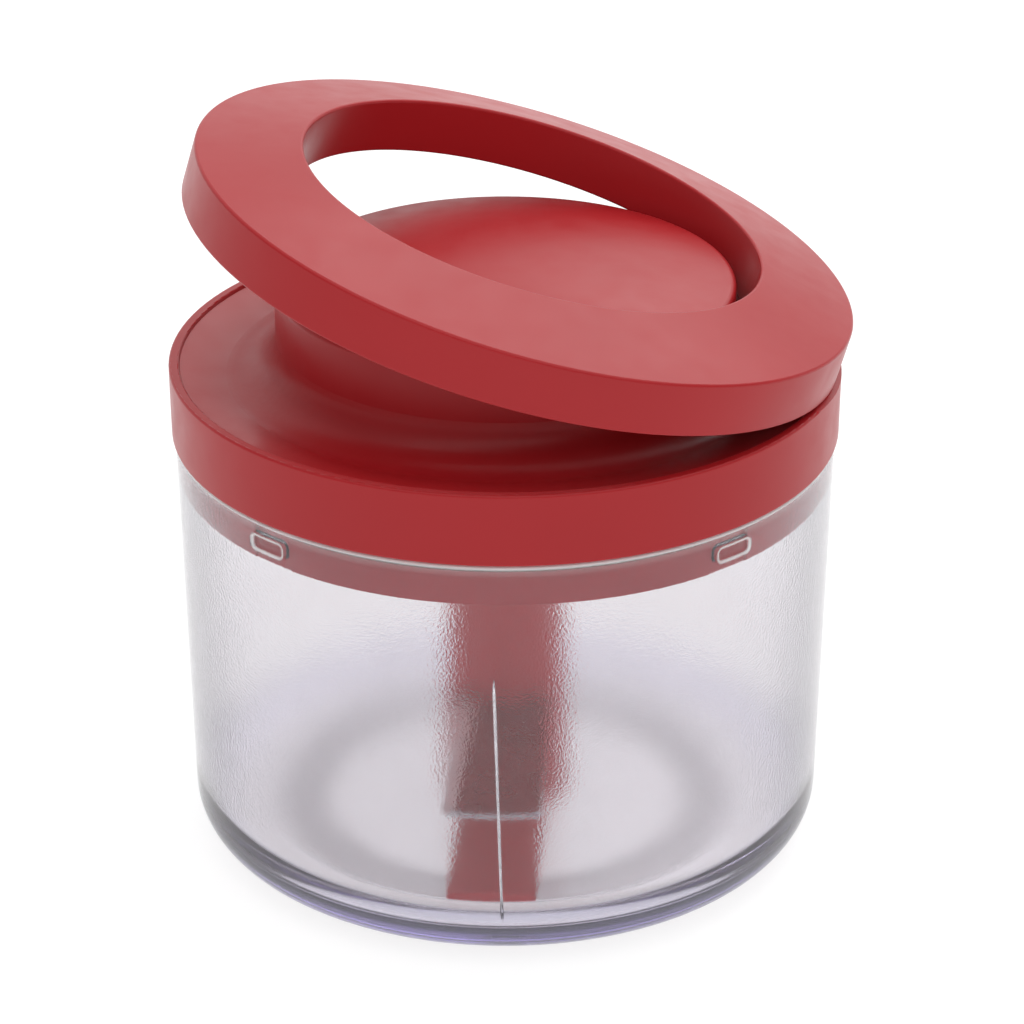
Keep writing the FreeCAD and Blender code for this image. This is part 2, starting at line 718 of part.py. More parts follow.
# lightening holes
for k in range(5):
    a = math.radians(36 + 72 * k)
    cluster = cluster.cut(Part.makeCylinder(1.9, 8, Vector(7.1 * math.cos(a), 7.1 * math.sin(a), 5.0)))
cluster = cluster.cut(Part.makeCylinder(D["axle_r"] + D["run_fit"], 40, Vector(0, 0, -20)))
node(made("cluster_gear_shape", to_xz(cluster, AX, AZ)), "cluster_gear")

# ------- crown gear and its pinion in one moulding, on axle B over the drive shaft
toward_a = math.degrees(math.atan2(AZ - BZ, AX - BX))
p2 = prism(gear_wire(NP, M, ADD_PIN, DED_PIN, LASH, toward_a + 180.0 / NP), 5.6, 11.4)
disc = Part.makeCylinder(RW + 2.4, 3.0, Vector(0, 0, -10.3))
hub2 = Part.makeCylinder(3.6, 24.6, Vector(0, 0, -11.0))


def crown_tooth(angle):
    """One tapered tooth standing on the crown's web, pointing along +Z here."""
    def section(r):
        pitch = 2 * math.pi * r / NW
        wide = max(0.4, pitch - (math.pi * M / 2 + 0.70))
        t = math.tan(math.radians(20))
        z_pitch, z_root, z_tip = -6.0, -7.5, -5.45
        a = wide / 2 + t * (z_pitch - z_root) * 0.7
        b = max(0.16, wide / 2 - t * (z_tip - z_pitch))
        return Part.makePolygon([Vector(r, -a, z_root), Vector(r, a, z_root), Vector(r, b, z_tip), Vector(r, -b, z_tip), Vector(r, -a, z_root)])

    s = Part.makeLoft([section(RW - 2.0), section(RW + 2.0)], True, True)
    s.rotate(Vector(0, 0, 0), Vector(0, 0, 1), angle)
    return s


crown = disc.fuse([hub2, p2] + [crown_tooth(-90.0 + 360.0 * k / NW) for k in range(NW)]).removeSplitter()
for k in range(5):
    a = math.radians(18 + 72 * k)
    crown = crown.cut(Part.makeCylinder(1.8, 8, Vector(6.6 * math.cos(a), 6.6 * math.sin(a), -12.0)))
crown = crown.cut(Part.makeCylinder(D["axle_r"] + D["run_fit"], 50, Vector(0, 0, -25)))
node(made("crown_gear_shape", to_xz(crown, BX, BZ)), "crown_gear")

# ------- upright pinion on the drive shaft
CZ = BZ - RW
p3 = prism(gear_wire(NP, M, ADD_PIN, DED_PIN, LASH + 0.1, 90.0 + 180.0 / NP), CZ - 1.9, CZ + 2.1)
p3 = p3.fuse(Part.makeCylinder(4.4, 2.0, Vector(0, 0, CZ - 3.8))).removeSplitter()
flat = Part.makeBox(10, 10, 12, Vector(2.6, -5, CZ - 5))
bore3 = Part.makeCylinder(3.0 + D["seat_fit"], 12, Vector(0, 0, CZ - 5)).cut(flat)
p3 = p3.cut(bore3)
node(made("drive_pinion_shape", p3), "drive_pinion")

shaft_body = turned(
    "drive_shaft_turned",
    [
        (0, 68.0),
        (3.0, 68.0),
        (3.0, 76.6),
        ("shaft_r", 76.6),
        ("shaft_r", CZ - 4.0),
        (3.0, CZ - 4.0),
        (3.0, CZ + 3.4),
        (0, CZ + 3.4),
    ],
)
shaft_flats = [block("shaft_flat0", (6, 8, 7.4 + 0.2), (2.57, -4, CZ - 3.98)), block("shaft_flat1", (6, 8, 9), (2.57, -4, 67.6)),]
clip_groove = cut("clip_groove", rod("clip_groove_out", 4, 0.75, (0, 0, 77.0)), [rod("clip_groove_in", 2.75, 2, (0, 0, 76.5))])
node(cut("drive_shaft_cut", shaft_body, shaft_flats + [clip_groove]), "drive_shaft")

# E-clip that stops the shaft from rising, under the bush
clip = Part.makeCylinder(5.2, 0.6, Vector(0, 0, 77.08)).cut(Part.makeCylinder(2.8, 3, Vector(0, 0, 76)))
clip = clip.cut(Part.makeBox(8, 3.6, 3, Vector(0.5, -1.8, 76)))
for a in (125, 235):
    clip = clip.cut(Part.makeCylinder(0.9, 3, Vector(3.4 * math.cos(math.radians(a)), 3.4 * math.sin(math.radians(a)), 76)))
node(made("shaft_clip_shape", clip), "shaft_clip")

# flanged bush in the under cover
bush = turned(
    "shaft_bush_turned",
    [
        ("shaft_r + run_fit", 77.9),
        ("bush_r + 1.6", 77.9),
        ("bush_r + 1.6", 78.5),
        ("bush_r", 78.5),
        ("bush_r", 80.8),
        ("shaft_r + 1.7", 80.8),
        ("shaft_r + 1.7", 79.6),
        ("shaft_r + run_fit", 79.6),
    ],
)
node(bush, "shaft_bush")
lip = doc.addObject("Part::Torus", "shaft_seal_torus")
lip.Radius1, lip.Radius2 = D["shaft_r"] + 0.85, 0.5
lip.Placement = Placement(Vector(0, 0, 80.15), Rotation())
node(lip, "shaft_seal")

# thrust washer under the pinion
washer = cut("thrust_washer_cut", rod("washer_disc", 5.6, 0.6, (0, 0, CZ - 4.62)), [rod("washer_hole", 3.6, 3, (0, 0, CZ - 6))])
node(washer, "thrust_washer")

# hexagonal coupler on the shaft's lower end
HEX = D["hex_flat"]


def hexagon(flat, turn=0.0):
    r = flat / 2 / math.cos(math.radians(30))
    return [Vector(r * math.cos(math.radians(60 * k + turn)), r * math.sin(math.radians(60 * k + turn)), 0) for k in range(6)]


coup = prism(hexagon(HEX), 66.2, 75.4)
lead = Part.makeCone(HEX / 2 - 0.6, HEX / 2 + 4.4, 5.0, Vector(0, 0, 66.2)).fuse(Part.makeCylinder(12, 6, Vector(0, 0, 71.2)))
coup = coup.common(lead)
coup = coup.fuse(Part.makeCylinder(6.9, 1.1, Vector(0, 0, 75.4 + 0.05)).fuse(Part.makeCylinder(5.0, 0.2, Vector(0, 0, 75.3)))).removeSplitter()
dbore = Part.makeCylinder(3.0 + D["seat_fit"], 9.6, Vector(0, 0, 67.9)).cut(Part.makeBox(6, 8, 12, Vector(2.6, -4, 67)))
coup = coup.cut(dbore).removeSplitter()
node(made("drive_coupler_shape", coup), "drive_coupler")

# ------- axles
for name, x, z in (("cluster_axle", AX, AZ), ("crown_axle", BX, BZ)):
    a = rod(name + "_rod", "axle_r", "2*cheek_in + 2*cheek_thick - 0.4", (x, "0.2 - cheek_in - cheek_thick", z), "Y")
    node(a, name)

# ---------------------------------------------------------------- gear frame
CI, CT = D["cheek_in"], D["cheek_thick"]
tray = block("frame_tray", (43, "2*cheek_in + 2*cheek_thick", "frame_floor - frame_low"), (-14, "0 - cheek_in - cheek_thick", "frame_low"))
cheek_pts = [(-14, 80.9), (29, 80.9), (29, 86.5), (22.5, 101.5), (17.0, 104.0), (6.5, 107.4), (-5.0, 107.4), (-9.0, 100.0), (-14, 92.0)]
cheeks = [made("frame_cheek0", xz_prism(cheek_pts, CI, CI + CT)), made("frame_cheek1", xz_prism(cheek_pts, -CI - CT, -CI))]
wings = [
    block("frame_wing0", (74, 9.2, 2.4), (-37, CI + CT - 0.6, 86.0)),
    block("frame_wing1", (74, 9.2, 2.4), (-37, -CI - CT + 0.6 - 9.2, 86.0)),
]
gussets = []
for k, (x, sy) in enumerate([(-13.0, 1), (-13.0, -1), (27.0, 1), (27.0, -1)]):
    y = CI + CT - 0.1
    pts = [Vector(x, sy * y, 81.0), Vector(x, sy * y, 86.1), Vector(x, sy * (y + 6.5), 86.1), Vector(x, sy * y, 81.0)]
    gussets.append(made("frame_gusset%d" % k, Part.Face(Part.makePolygon(pts)).extrude(Vector(1.8, 0, 0))))
hub = rod("frame_hub", 6.4, "frame_floor - frame_low + 1.2", (0, 0, "frame_low"))
frame_solid = joined("gear_frame_joined", [tray, hub] + cheeks + wings + gussets)
frame_tools = [
    rod("frame_hub_bore", "shaft_r + run_fit", 20, (0, 0, 75)),
    rod("frame_axle_bore0", "axle_r + seat_fit", 60, (AX, -30, AZ), "Y"),
    rod("frame_axle_bore1", "axle_r + seat_fit", 60, (BX, -30, BZ), "Y"),
    # clearance under the seal and over the bush
    rod("frame_bush_room", "shaft_r + 2.6", 0.7, (0, 0, 80.4)),
] + [rod("frame_screw_hole%d" % k, 1.4, 6, (x, y, 84)) for k, (x, y) in enumerate(FRAME_SCREWS)]
node(cut("gear_frame_cut", frame_solid, frame_tools), "gear_frame")
fs = screw_shape(2.5, 1.7, 1.1, 9.0)
node(screw_group("frame_screw_set", fs, [(x, y, 85.97, 15 * k) for k, (x, y) in enumerate(FRAME_SCREWS)]), "frame_screws")

# ---------------------------------------------------------------- ring lever
ring = turned(
    "ring_turned",
    [
        ("ring_r", "ring_low"),
        ("ring_r", "ring_edge"),
        ("hole_r", "ring_crest"),
        ("hole_r", "ring_in_low"),
        ("hole_r + ring_wall", "ring_in_low - 0.4"),
        ("hole_r + ring_wall", "ring_crest - ring_wall - 0.6"),
        ("ring_r - ring_wall", "ring_edge - ring_wall + 0.4"),
        ("ring_r - ring_wall", "ring_low"),
    ],
)
rounded(
    ring,
    [
        ("ring_r", "ring_edge", 0.6),
        ("hole_r", "ring_crest", 0.5),
        ("ring_r", "ring_low", 0.5),
        ("hole_r", "ring_in_low", 0.4),
    ],
    "ring",
)


def skin_z(r):
    """Underside of the ring's top skin at a radius."""
    a = (D["ring_r"] - D["ring_wall"], D["ring_edge"] - D["ring_wall"] + 0.4)
    b = (D["hole_r"] + D["ring_wall"], D["ring_crest"] - D["ring_wall"] - 0.6)
    return a[1] + (b[1] - a[1]) * (a[0] - r) / (a[0] - b[0])


def plate_z(r):
    """Underside of the underplate at a radius; it lies parallel to the ring's top."""
    return D["ring_low"] + 0.45 + (D["ring_in_low"] - D["ring_low"]) * (D["ring_r"] - r) / (D["ring_r"] - D["hole_r"])


PLATE_TURN = (62, 118, 180, 242, 298)
PLATE_R = 56.0
PLATE_T = 1.5
BOSS_LOW = plate_z(PLATE_R) + PLATE_T + 0.7
plate_bosses = polar("plate_boss", lambda n, x, y, a: rod(n, 2.7, skin_z(PLATE_R) + 0.8 - BOSS_LOW, (x, y, BOSS_LOW)), PLATE_TURN, PLATE_R)
ARM_SCREWS = [(53.0, 7.0), (53.0, -7.0)]
arm_bosses = [rod("arm_boss%d" % k, 2.6, skin_z(53.4) + 0.8 - 111.1, (x, y, 111.1)) for k, (x, y) in enumerate(ARM_SCREWS)]


def lug_shape(y0, y1):
    top = skin_z(60.0) + 0.9
    web = xz_prism([(HX - D["ear_r"], HZ), (HX + D["ear_r"], HZ), (HX + D["ear_r"], top), (HX - D["ear_r"] - 1.5, top)], y0, y1)
    return web.fuse(Part.makeCylinder(D["ear_r"], y1 - y0, Vector(HX, y0, HZ), Vector(0, 1, 0))).removeSplitter()


lugs = [made("ring_lug0", lug_shape(13.9, 18.1)), made("ring_lug1", lug_shape(-18.1, -13.9))]
# stiffening ribs under the skin
stiff = []
for k, a in enumerate((90, 148, 212, 270, 35, 325)):
    s = made("ring_rib%d" % k, Part.makeBox(17, 1.4, 10.0, Vector(47.5, -0.7, 108.3)))
    s.Placement = Placement(Vector(), Rotation(Vector(0, 0, 1), a))
    stiff.append(s)
stiff_set = joined("ring_ribs_all", stiff)
under_skin = turned(
    "ring_hollow",
    [
        ("hole_r + ring_wall - 0.4", "ring_in_low + 1"),
        ("hole_r + ring_wall - 0.4", "ring_crest - ring_wall - 0.2"),
        ("ring_r - ring_wall + 0.4", "ring_edge - ring_wall + 0.8"),
        ("ring_r - ring_wall + 0.4", "ring_in_low + 1"),
    ],
)
ribs_in = doc.addObject("Part::Common", "ring_ribs_in")
ribs_in.Base, ribs_in.Tool = stiff_set, under_skin
doc.recompute()
ring_plus = joined("ring_joined", [ring] + plate_bosses + arm_bosses + lugs + [ribs_in])
# the wall is thinner round the hinge, where the ears stand
thin = Part.makeCylinder(64.75, 9.0, Vector(0, 0, 101.9)).common(Part.makeBox(10, 27.2, 9.6, Vector(58.6, -13.6, 101.6)))
thin_cut = made("ring_thinning", thin)
pin_hole = rod("ring_pin_hole", "hinge_pin_r + seat_fit", 35.6, ("hinge_x", -17.8, "hinge_z"), "Y")
plate_pilots = polar("plate_pilot", lambda n, x, y, a: rod(n, 0.93, 7.2, (x, y, BOSS_LOW - 0.6)), PLATE_TURN, PLATE_R)
arm_pilots = [rod("arm_pilot%d" % k, 0.93, 3.0, (x, y, 110.4)) for k, (x, y) in enumerate(ARM_SCREWS)]
ring_lever = cut("ring_lever_cut", ring_plus, [thin_cut, pin_hole] + plate_pilots + arm_pilots)
node(ring_lever, "ring_lever", RAISED)

# underplate: an open-ended annulus that leaves the hinge bay free
P_OUT, P_IN = D["ring_r"] - D["ring_wall"] - 0.2, D["hole_r"] + D["ring_wall"] + 0.2
plate_disc = turned(
    "plate_turned",
    [(P_OUT, plate_z(P_OUT)), (P_OUT, plate_z(P_OUT) + PLATE_T), (P_IN, plate_z(P_IN) + PLATE_T), (P_IN, plate_z(P_IN))],
)
SINK_Z = plate_z(PLATE_R) + 0.1
plate = cut(
    "plate_annulus",
    plate_disc,
    [block("plate_bay", (40, 44, 16), (40, -22, "ring_low - 4"))]
    + polar("plate_screw_hole", lambda n, x, y, a: rod(n, 1.15, 6, (x, y, SINK_Z - 3)), PLATE_TURN, PLATE_R)
    + polar("plate_screw_sink", lambda n, x, y, a: rod(n, 2.45, 3.0, (x, y, SINK_Z - 2.3)), PLATE_TURN, PLATE_R),
)
node(plate, "ring_underplate", RAISED)
ps = screw_shape(2.1, 0.9, 0.9, 7.0)
node(
    screw_group("plate_screw_set", ps, [(PLATE_R * math.cos(math.radians(a)), PLATE_R * math.sin(math.radians(a)), SINK_Z + 0.68, a + 25 * k) for k, a in enumerate(PLATE_TURN)]),
    "underplate_screws",
    RAISED,
)

# ---------------------------------------------------------------- drive arm
# Angles are about the hinge, in the pressed position. At rest a tooth of the sector
# lies on the line to the first pinion, so pressed it lies the tilt further down.
TOOTH = 360.0 / NS
mid = 180 + D["mesh_angle"] + TILT  # pressed direction of the tooth that meshes at rest
N_TEETH = 6
first_mid = mid - TOOTH * 1.5  # centre of the toothed arc
sector_pts = gear_wire(NS, M, ADD_BIG, DED_BIG, LASH, first_mid, N_TEETH, 31.0)
sector = prism(sector_pts, -3.0, 3.0)
arm_dir = math.radians(first_mid)
ux, uz = math.cos(arm_dir), math.sin(arm_dir)
bar = [(0, 3.3), (10, 3.6), (33, 6.5), (33, -6.5), (10, -3.6), (0, -3.3)]
bar_pts = [Vector(ux * l - uz * w, uz * l + ux * w, 0) for l, w in bar]
bar_s = prism(bar_pts, -3.0, 3.0)
hub_s = Part.makeCylinder(3.5, 8.0, Vector(0, 0, -4.0))
arm = sector.fuse([bar_s, hub_s]).removeSplitter()
arm = to_xz(arm, HX, HZ)
# lightening slot between hub and teeth
slot_pts = [Vector(ux * l - uz * w, uz * l + ux * w, 0) for l, w in [(14, 1.2), (28, 3.0), (28, -3.0), (14, -1.2)]]
arm = arm.cut(to_xz(prism(slot_pts, -5, 5), HX, HZ))
# pad that the ring is screwed to, and its webs
pad = Part.makeBox(8.6, 20.0, 1.9, Vector(49.2, -10.0, 109.1))
web = xz_prism([(HX - 2.6, HZ + 1.0), (HX - 1.0, HZ + 3.2), (57.0, 110.0), (50.0, 110.0), (HX - 8.5, HZ - 2.0)], -3.0, 3.0)
arm = arm.fuse([pad, web]).removeSplitter()
arm = arm.cut(Part.makeCylinder(D["hinge_pin_r"] + D["seat_fit"], 20, Vector(HX, -10, HZ), Vector(0, 1, 0)))
for x, y in ARM_SCREWS:
    arm = arm.cut(Part.makeCylinder(1.1, 6, Vector(x, y, 107)))
node(made("drive_arm_shape", arm), "drive_arm", RAISED)
as_ = screw_shape(1.9, 1.3, 0.9, 4.2)
node(screw_group("arm_screw_set", as_, [(x, y, 109.07, 30 * k) for k, (x, y) in enumerate(ARM_SCREWS)]), "arm_screws", RAISED)

hinge_pin = rod("hinge_pin_rod", "hinge_pin_r", "hinge_pin_len", ("hinge_x", "0 - hinge_pin_len/2", "hinge_z"), "Y")
node(hinge_pin, "hinge_pin", RAISED)


# ---------------------------------------------------------------- return springs
def torsion_spring(y0):
    """A close coil round the hinge pin from y0 on, with a leg along the dish and a leg
    up to the pad of the drive arm."""
    wire_r, coil_r, pitch, turns = 0.42, 2.6, 1.0, 3.6
    start = math.radians(255.0)
    pts = []
    for l in (4.5, 3.0, 1.5):
        t = Vector(math.sin(start), 0, math.cos(start))
        o = Vector(coil_r * math.cos(start), 0, -coil_r * math.sin(start))
        pts.append(o + t * l)
    steps = int(turns * 24)
    for i in range(steps + 1):
        a = start + 2 * math.pi * turns * i / steps
        pts.append(Vector(coil_r * math.cos(a), pitch * turns * i / steps, -coil_r * math.sin(a)))
    last = start + 2 * math.pi * turns
    t = Vector(-math.sin(last), 0, -math.cos(last))
    for l in (1.5, 3.0, 4.5):
        pts.append(pts[steps + 3] + t * l)
    rail = Part.BSplineCurve()
    rail.interpolate(pts)
    rail = Part.Wire([rail.toShape()])
    first = rail.Edges[0]
    prof = Part.Wire([Part.makeCircle(wire_r, pts[0], first.tangentAt(first.FirstParameter))])
    coil = rail.makePipeShell([prof], True, False)
    coil.translate(Vector(HX, y0, HZ))
    return coil


springs = [made("return_spring0", torsion_spring(4.85)), made("return_spring1", torsion_spring(-8.45))]
node(compound("return_spring_set", springs), "return_springs")

# ---------------------------------------------------------------- stem and blades
stem_body = turned(
    "stem_turned",
    [
        (7.2, "stem_low"),
        (10.8, "stem_low"),
        (10.8, 9.3),
        ("stem_r + 1.2", 9.3),
        ("stem_r + 1.1", 20.0),
        ("stem_r + 0.1", 56.0),
        ("stem_r - 0.2", "stem_top"),
        (7.4, "stem_top"),
        (7.4, 34.0),
        (0, 34.0),
        (0, 29.0),
        (4.6, 29.0),
        (4.6, 10.2),
        (7.2, 10.2),
    ],
)
rounded(stem_body, [("stem_r - 0.2", "stem_top", 0.8), ("stem_r + 1.2", 9.3, 0.4)], "stem")

TURN = Rotation(Vector(0, 0, 1), D["blade_turn"])
SPIN = Placement(Vector(), TURN)


def blade_shape(slope, z_root, root_in=5.6, grow=0.0):
    """A blade along -Y: a flat strip whose tip is an arc about the axis, ground to an
    edge along its -X side. z_root is its top at the stem's radius."""
    reach, wide, thick = D["blade_reach"], D["blade_wide"], D["blade_thick"]
    a = wide / 2.0
    if grow:
        s = Part.makeBox(wide + 2 * grow, reach, thick + 2 * grow, Vector(-a - grow, -reach, -thick - grow))
    else:
        y_in = -root_in
        y_tip = -math.sqrt(reach * reach - a * a)
        rc = 1.6
        w = Part.Wire(
            [
                Part.LineSegment(Vector(-a, y_in, -thick), Vector(-a, y_tip, -thick)).toShape(),
                Part.Arc(Vector(-a, y_tip, -thick), Vector(0, -reach, -thick), Vector(a, y_tip, -thick)).toShape(),
                Part.LineSegment(Vector(a, y_tip, -thick), Vector(a, y_in, -thick)).toShape(),
                Part.LineSegment(Vector(a, y_in, -thick), Vector(-a, y_in, -thick)).toShape(),
            ]
        )
        s = Part.Face(w).extrude(Vector(0, 0, thick))
        corners = [e for e in s.Edges if e.BoundBox.ZLength > 0.5 and e.BoundBox.YMax < y_tip + 0.1]
        s = s.makeFillet(rc, corners)
        # the ground bevel, wider at the root than at the tip
        b0, b1 = 4.6, 2.5
        bev = [
            Part.makePolygon([Vector(-a - 1, 0, 1), Vector(-a - 1, 0, -thick + 0.12), Vector(-a, 0, -thick + 0.12), Vector(-a + b0, 0, 0), Vector(-a + b0, 0, 1), Vector(-a - 1, 0, 1)]),
            Part.makePolygon([Vector(-a - 1, -reach - 2, 1), Vector(-a - 1, -reach - 2, -thick + 0.12), Vector(-a, -reach - 2, -thick + 0.12), Vector(-a + b1, -reach - 2, 0), Vector(-a + b1, -reach - 2, 1), Vector(-a - 1, -reach - 2, 1)]),
        ]
        tool = Part.makeLoft(bev, True, True)
        keep = Part.makeBox(40, reach, 6, Vector(-20, -reach - 3, -3))
        keep.translate(Vector(0, -9.5, 0))
        s = s.cut(tool.common(keep))
        # waist where the strip passes through the stem
        for sx in (-1, 1):
            s = s.cut(Part.makeBox(6, 7.6, 6, Vector(sx * 6.2 if sx > 0 else -12.2, -7.6, -3)))
        s = s.removeSplitter()
    s.rotate(Vector(0, -D["stem_r"], 0), Vector(1, 0, 0), slope)
    s.translate(Vector(0, 0, z_root))
    return s


LOW_Z, HIGH_Z = 31.2, 56.0
low = blade_shape(D["blade_droop"], LOW_Z)
high = blade_shape(-3.0, HIGH_Z)
high.rotate(Vector(0, 0, 0), Vector(0, 0, 1), 180)


def slot_for(slope, z_root, turn=0.0, root_in=5.6, gap=0.05):
    """The room that a blade's root takes in the stem, a little larger all round."""
    a, thick = D["blade_wide"] / 2.0, D["blade_thick"]
    waist = Part.makeBox(2 * (6.2 + gap), 7.6 - root_in + 0.6, thick + 2 * gap, Vector(-6.2 - gap, -7.6 - 0.55, -thick - gap))
    full = Part.makeBox(2 * (a + gap), 12.0, thick + 2 * gap, Vector(-a - gap, -7.6 + gap - 12.0, -thick - gap))
    room = waist.fuse(full).removeSplitter()
    room.rotate(Vector(0, -D["stem_r"], 0), Vector(1, 0, 0), slope)
    room.translate(Vector(0, 0, z_root))
    room.rotate(Vector(0, 0, 0), Vector(0, 0, 1), turn)
    return room


# the lower blade's root fills a slot in the stem's solid foot; the upper blade
# crosses the hollow part and grips both walls
stem_slots = [made("blade_slot0", slot_for(D["blade_droop"], LOW_Z)), made("blade_slot1", slot_for(-3.0, HIGH_Z, 180))]
stem = cut("stem_cut", stem_body, stem_slots)
node(stem, "blade_stem", SPIN)
node(made("lower_blade_shape", low), "lower_blade", SPIN)
node(made("upper_blade_shape", high), "upper_blade", SPIN)

# sweep arms: a flat pair at the foot of the stem with a low roof along each
def sweep_shape(y_tip):
    a = 8.65
    z0 = D["stem_low"] + 0.05
    roof = [Vector(-a, 0, z0), Vector(a, 0, z0), Vector(a, 0, z0 + 2.0), Vector(0.4, 0, z0 + 2.9), Vector(-a, 0, z0 + 2.0), Vector(-a, 0, z0)]
    s = Part.Face(Part.makePolygon(roof)).extrude(Vector(0, y_tip, 0))
    tip = Part.makeCylinder(abs(y_tip), 8, Vector(0, 0, z0 - 1))
    return s.common(tip)


collar = Part.makeCylinder(12.7, 2.9, Vector(0, 0, D["stem_low"] + 0.05))
sweep = collar.fuse([sweep_shape(-D["blade_reach"]), sweep_shape(D["blade_reach"])]).removeSplitter()
sweep = sweep.cut(Part.makeCylinder(10.8 + D["seat_fit"], 12, Vector(0, 0, 2)))
node(made("sweep_arm_shape", sweep), "sweep_arms", SPIN)

stem_bush = turned(
    "stem_bush_turned",
    [
        ("pin_r + run_fit", 10.4),
        (4.57, 10.4),
        (4.57, 28.6),
        (0, 28.6),
        (0, 24.6),
        ("pin_r + run_fit", 24.6),
    ],
)
node(stem_bush, "stem_bush", SPIN)

socket = Part.makeCylinder(7.37, 13.1, Vector(0, 0, 61.8))
sock_hole = prism(hexagon(HEX + 0.8), 64.6, 80.0)
socket = socket.cut(sock_hole).removeSplitter()
node(made("drive_socket_shape", socket), "drive_socket")

# ---------------------------------------------------------------- checks and files
doc.recompute()
bad = [o.Name for o in doc.Objects if "Invalid" in o.State or "Error" in o.State]
if bad:
    raise RuntimeError("failed: %s" % bad)
labels = [l for l, _ in NODES]
if len(set(labels)) != len(labels):
    raise RuntimeError("a label is used twice")
os.makedirs("parts", exist_ok=True)
for label, obj in NODES:
    shape = obj.Shape
    if shape.isNull() or not shape.isValid() or not shape.Solids:
        raise RuntimeError("bad shape: %s" % label)
for label, obj in NODES:
    obj.Shape.exportStep("parts/%s.step" % label)
    b = obj.Shape.BoundBox
    print("%-18s solids %d vol %9.1f  x %.1f..%.1f y %.1f..%.1f z %.1f..%.1f" % (label, len(obj.Shape.Solids), obj.Shape.Volume, b.XMin, b.XMax, b.YMin, b.YMax, b.ZMin, b.ZMax))
print("axle A (%.3f, %.3f)  axle B (%.3f, %.3f)  crown mesh z %.3f" % (AX, AZ, BX, BZ, CZ))
print("ratios: lever to cluster %.4f, to crown %.4f, to drive %.4f" % (NS / NP, NS / NP * NW / NP, NS / NP * NW / NP * NW / NP))
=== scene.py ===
import bpy, bmesh, json, math
from mathutils import Matrix, Vector


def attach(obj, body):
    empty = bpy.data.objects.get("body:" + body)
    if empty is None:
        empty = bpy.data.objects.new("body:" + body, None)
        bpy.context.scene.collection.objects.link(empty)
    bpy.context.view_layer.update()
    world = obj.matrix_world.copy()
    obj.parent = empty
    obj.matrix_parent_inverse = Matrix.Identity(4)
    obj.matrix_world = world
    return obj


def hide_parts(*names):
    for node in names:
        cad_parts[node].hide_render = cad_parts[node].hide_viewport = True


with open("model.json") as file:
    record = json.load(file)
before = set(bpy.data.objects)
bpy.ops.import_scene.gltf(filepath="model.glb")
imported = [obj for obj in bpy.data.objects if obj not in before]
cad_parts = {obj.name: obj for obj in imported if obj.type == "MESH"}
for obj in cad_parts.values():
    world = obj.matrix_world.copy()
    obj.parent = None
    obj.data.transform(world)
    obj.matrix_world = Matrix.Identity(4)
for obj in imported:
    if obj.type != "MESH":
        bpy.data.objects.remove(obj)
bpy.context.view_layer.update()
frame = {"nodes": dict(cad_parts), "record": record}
NODES = frame["nodes"]
MM = 0.001


# ------------------------------------------------------------------ materials
def lin(r, g, b):
    """Linear colour from 0-255 display values."""
    def f(v):
        v = v / 255.0
        return v / 12.92 if v <= 0.04045 else ((v + 0.055) / 1.055) ** 2.4
    return (f(r), f(g), f(b), 1.0)


def scaled(c, k):
    return (min(1.0, c[0] * k), min(1.0, c[1] * k), min(1.0, c[2] * k), 1.0)


def new_mat(name):
    m = bpy.data.materials.new(name)
    m.use_nodes = True
    nt = m.node_tree
    nt.nodes.clear()
    out = nt.nodes.new("ShaderNodeOutputMaterial")
    p = nt.nodes.new("ShaderNodeBsdfPrincipled")
    nt.links.new(p.outputs["BSDF"], out.inputs["Surface"])
    return m, nt, p, out


def noise(nt, coord, scale, detail=3.0, rough=0.55, stretch=None, seed=0.0):
    n = nt.nodes.new("ShaderNodeTexNoise")
    n.noise_dimensions = "3D"
    n.inputs["Scale"].default_value = scale
    n.inputs["Detail"].default_value = detail
    n.inputs["Roughness"].default_value = rough
    src = coord
    if stretch or seed:
        mp = nt.nodes.new("ShaderNodeMapping")
        mp.inputs["Scale"].default_value = stretch or (1, 1, 1)
        mp.inputs["Location"].default_value = (seed, seed * 0.7, seed * 1.3)
        nt.links.new(coord, mp.inputs["Vector"])
        src = mp.outputs["Vector"]
    nt.links.new(src, n.inputs["Vector"])
    return n.outputs["Fac"]


def remap(nt, value, a, b, lo=0.3, hi=0.7):
    m = nt.nodes.new("ShaderNodeMapRange")
    m.inputs["From Min"].default_value = lo
    m.inputs["From Max"].default_value = hi
    m.inputs["To Min"].default_value = a
    m.inputs["To Max"].default_value = b
    nt.links.new(value, m.inputs["Value"])
    return m.outputs["Result"]


def mix_colour(nt, fac, a, b):
    m = nt.nodes.new("ShaderNodeMix")
    m.data_type = "RGBA"
    nt.links.new(fac, m.inputs[0])
    m.inputs[6].default_value = a
    m.inputs[7].default_value = b
    return m.outputs[2]


def bump(nt, p, heights, normal_from=None):
    """A chain of bumps: (height socket, strength, distance in metres)."""
    last = normal_from
    for h, strength, dist in heights:
        b = nt.nodes.new("ShaderNodeBump")
        b.inputs["Strength"].default_value = strength
        b.inputs["Distance"].default_value = dist
        nt.links.new(h, b.inputs["Height"])
        if last is not None:
            nt.links.new(last, b.inputs["Normal"])
        last = b.outputs["Normal"]
    nt.links.new(last, p.inputs["Normal"])


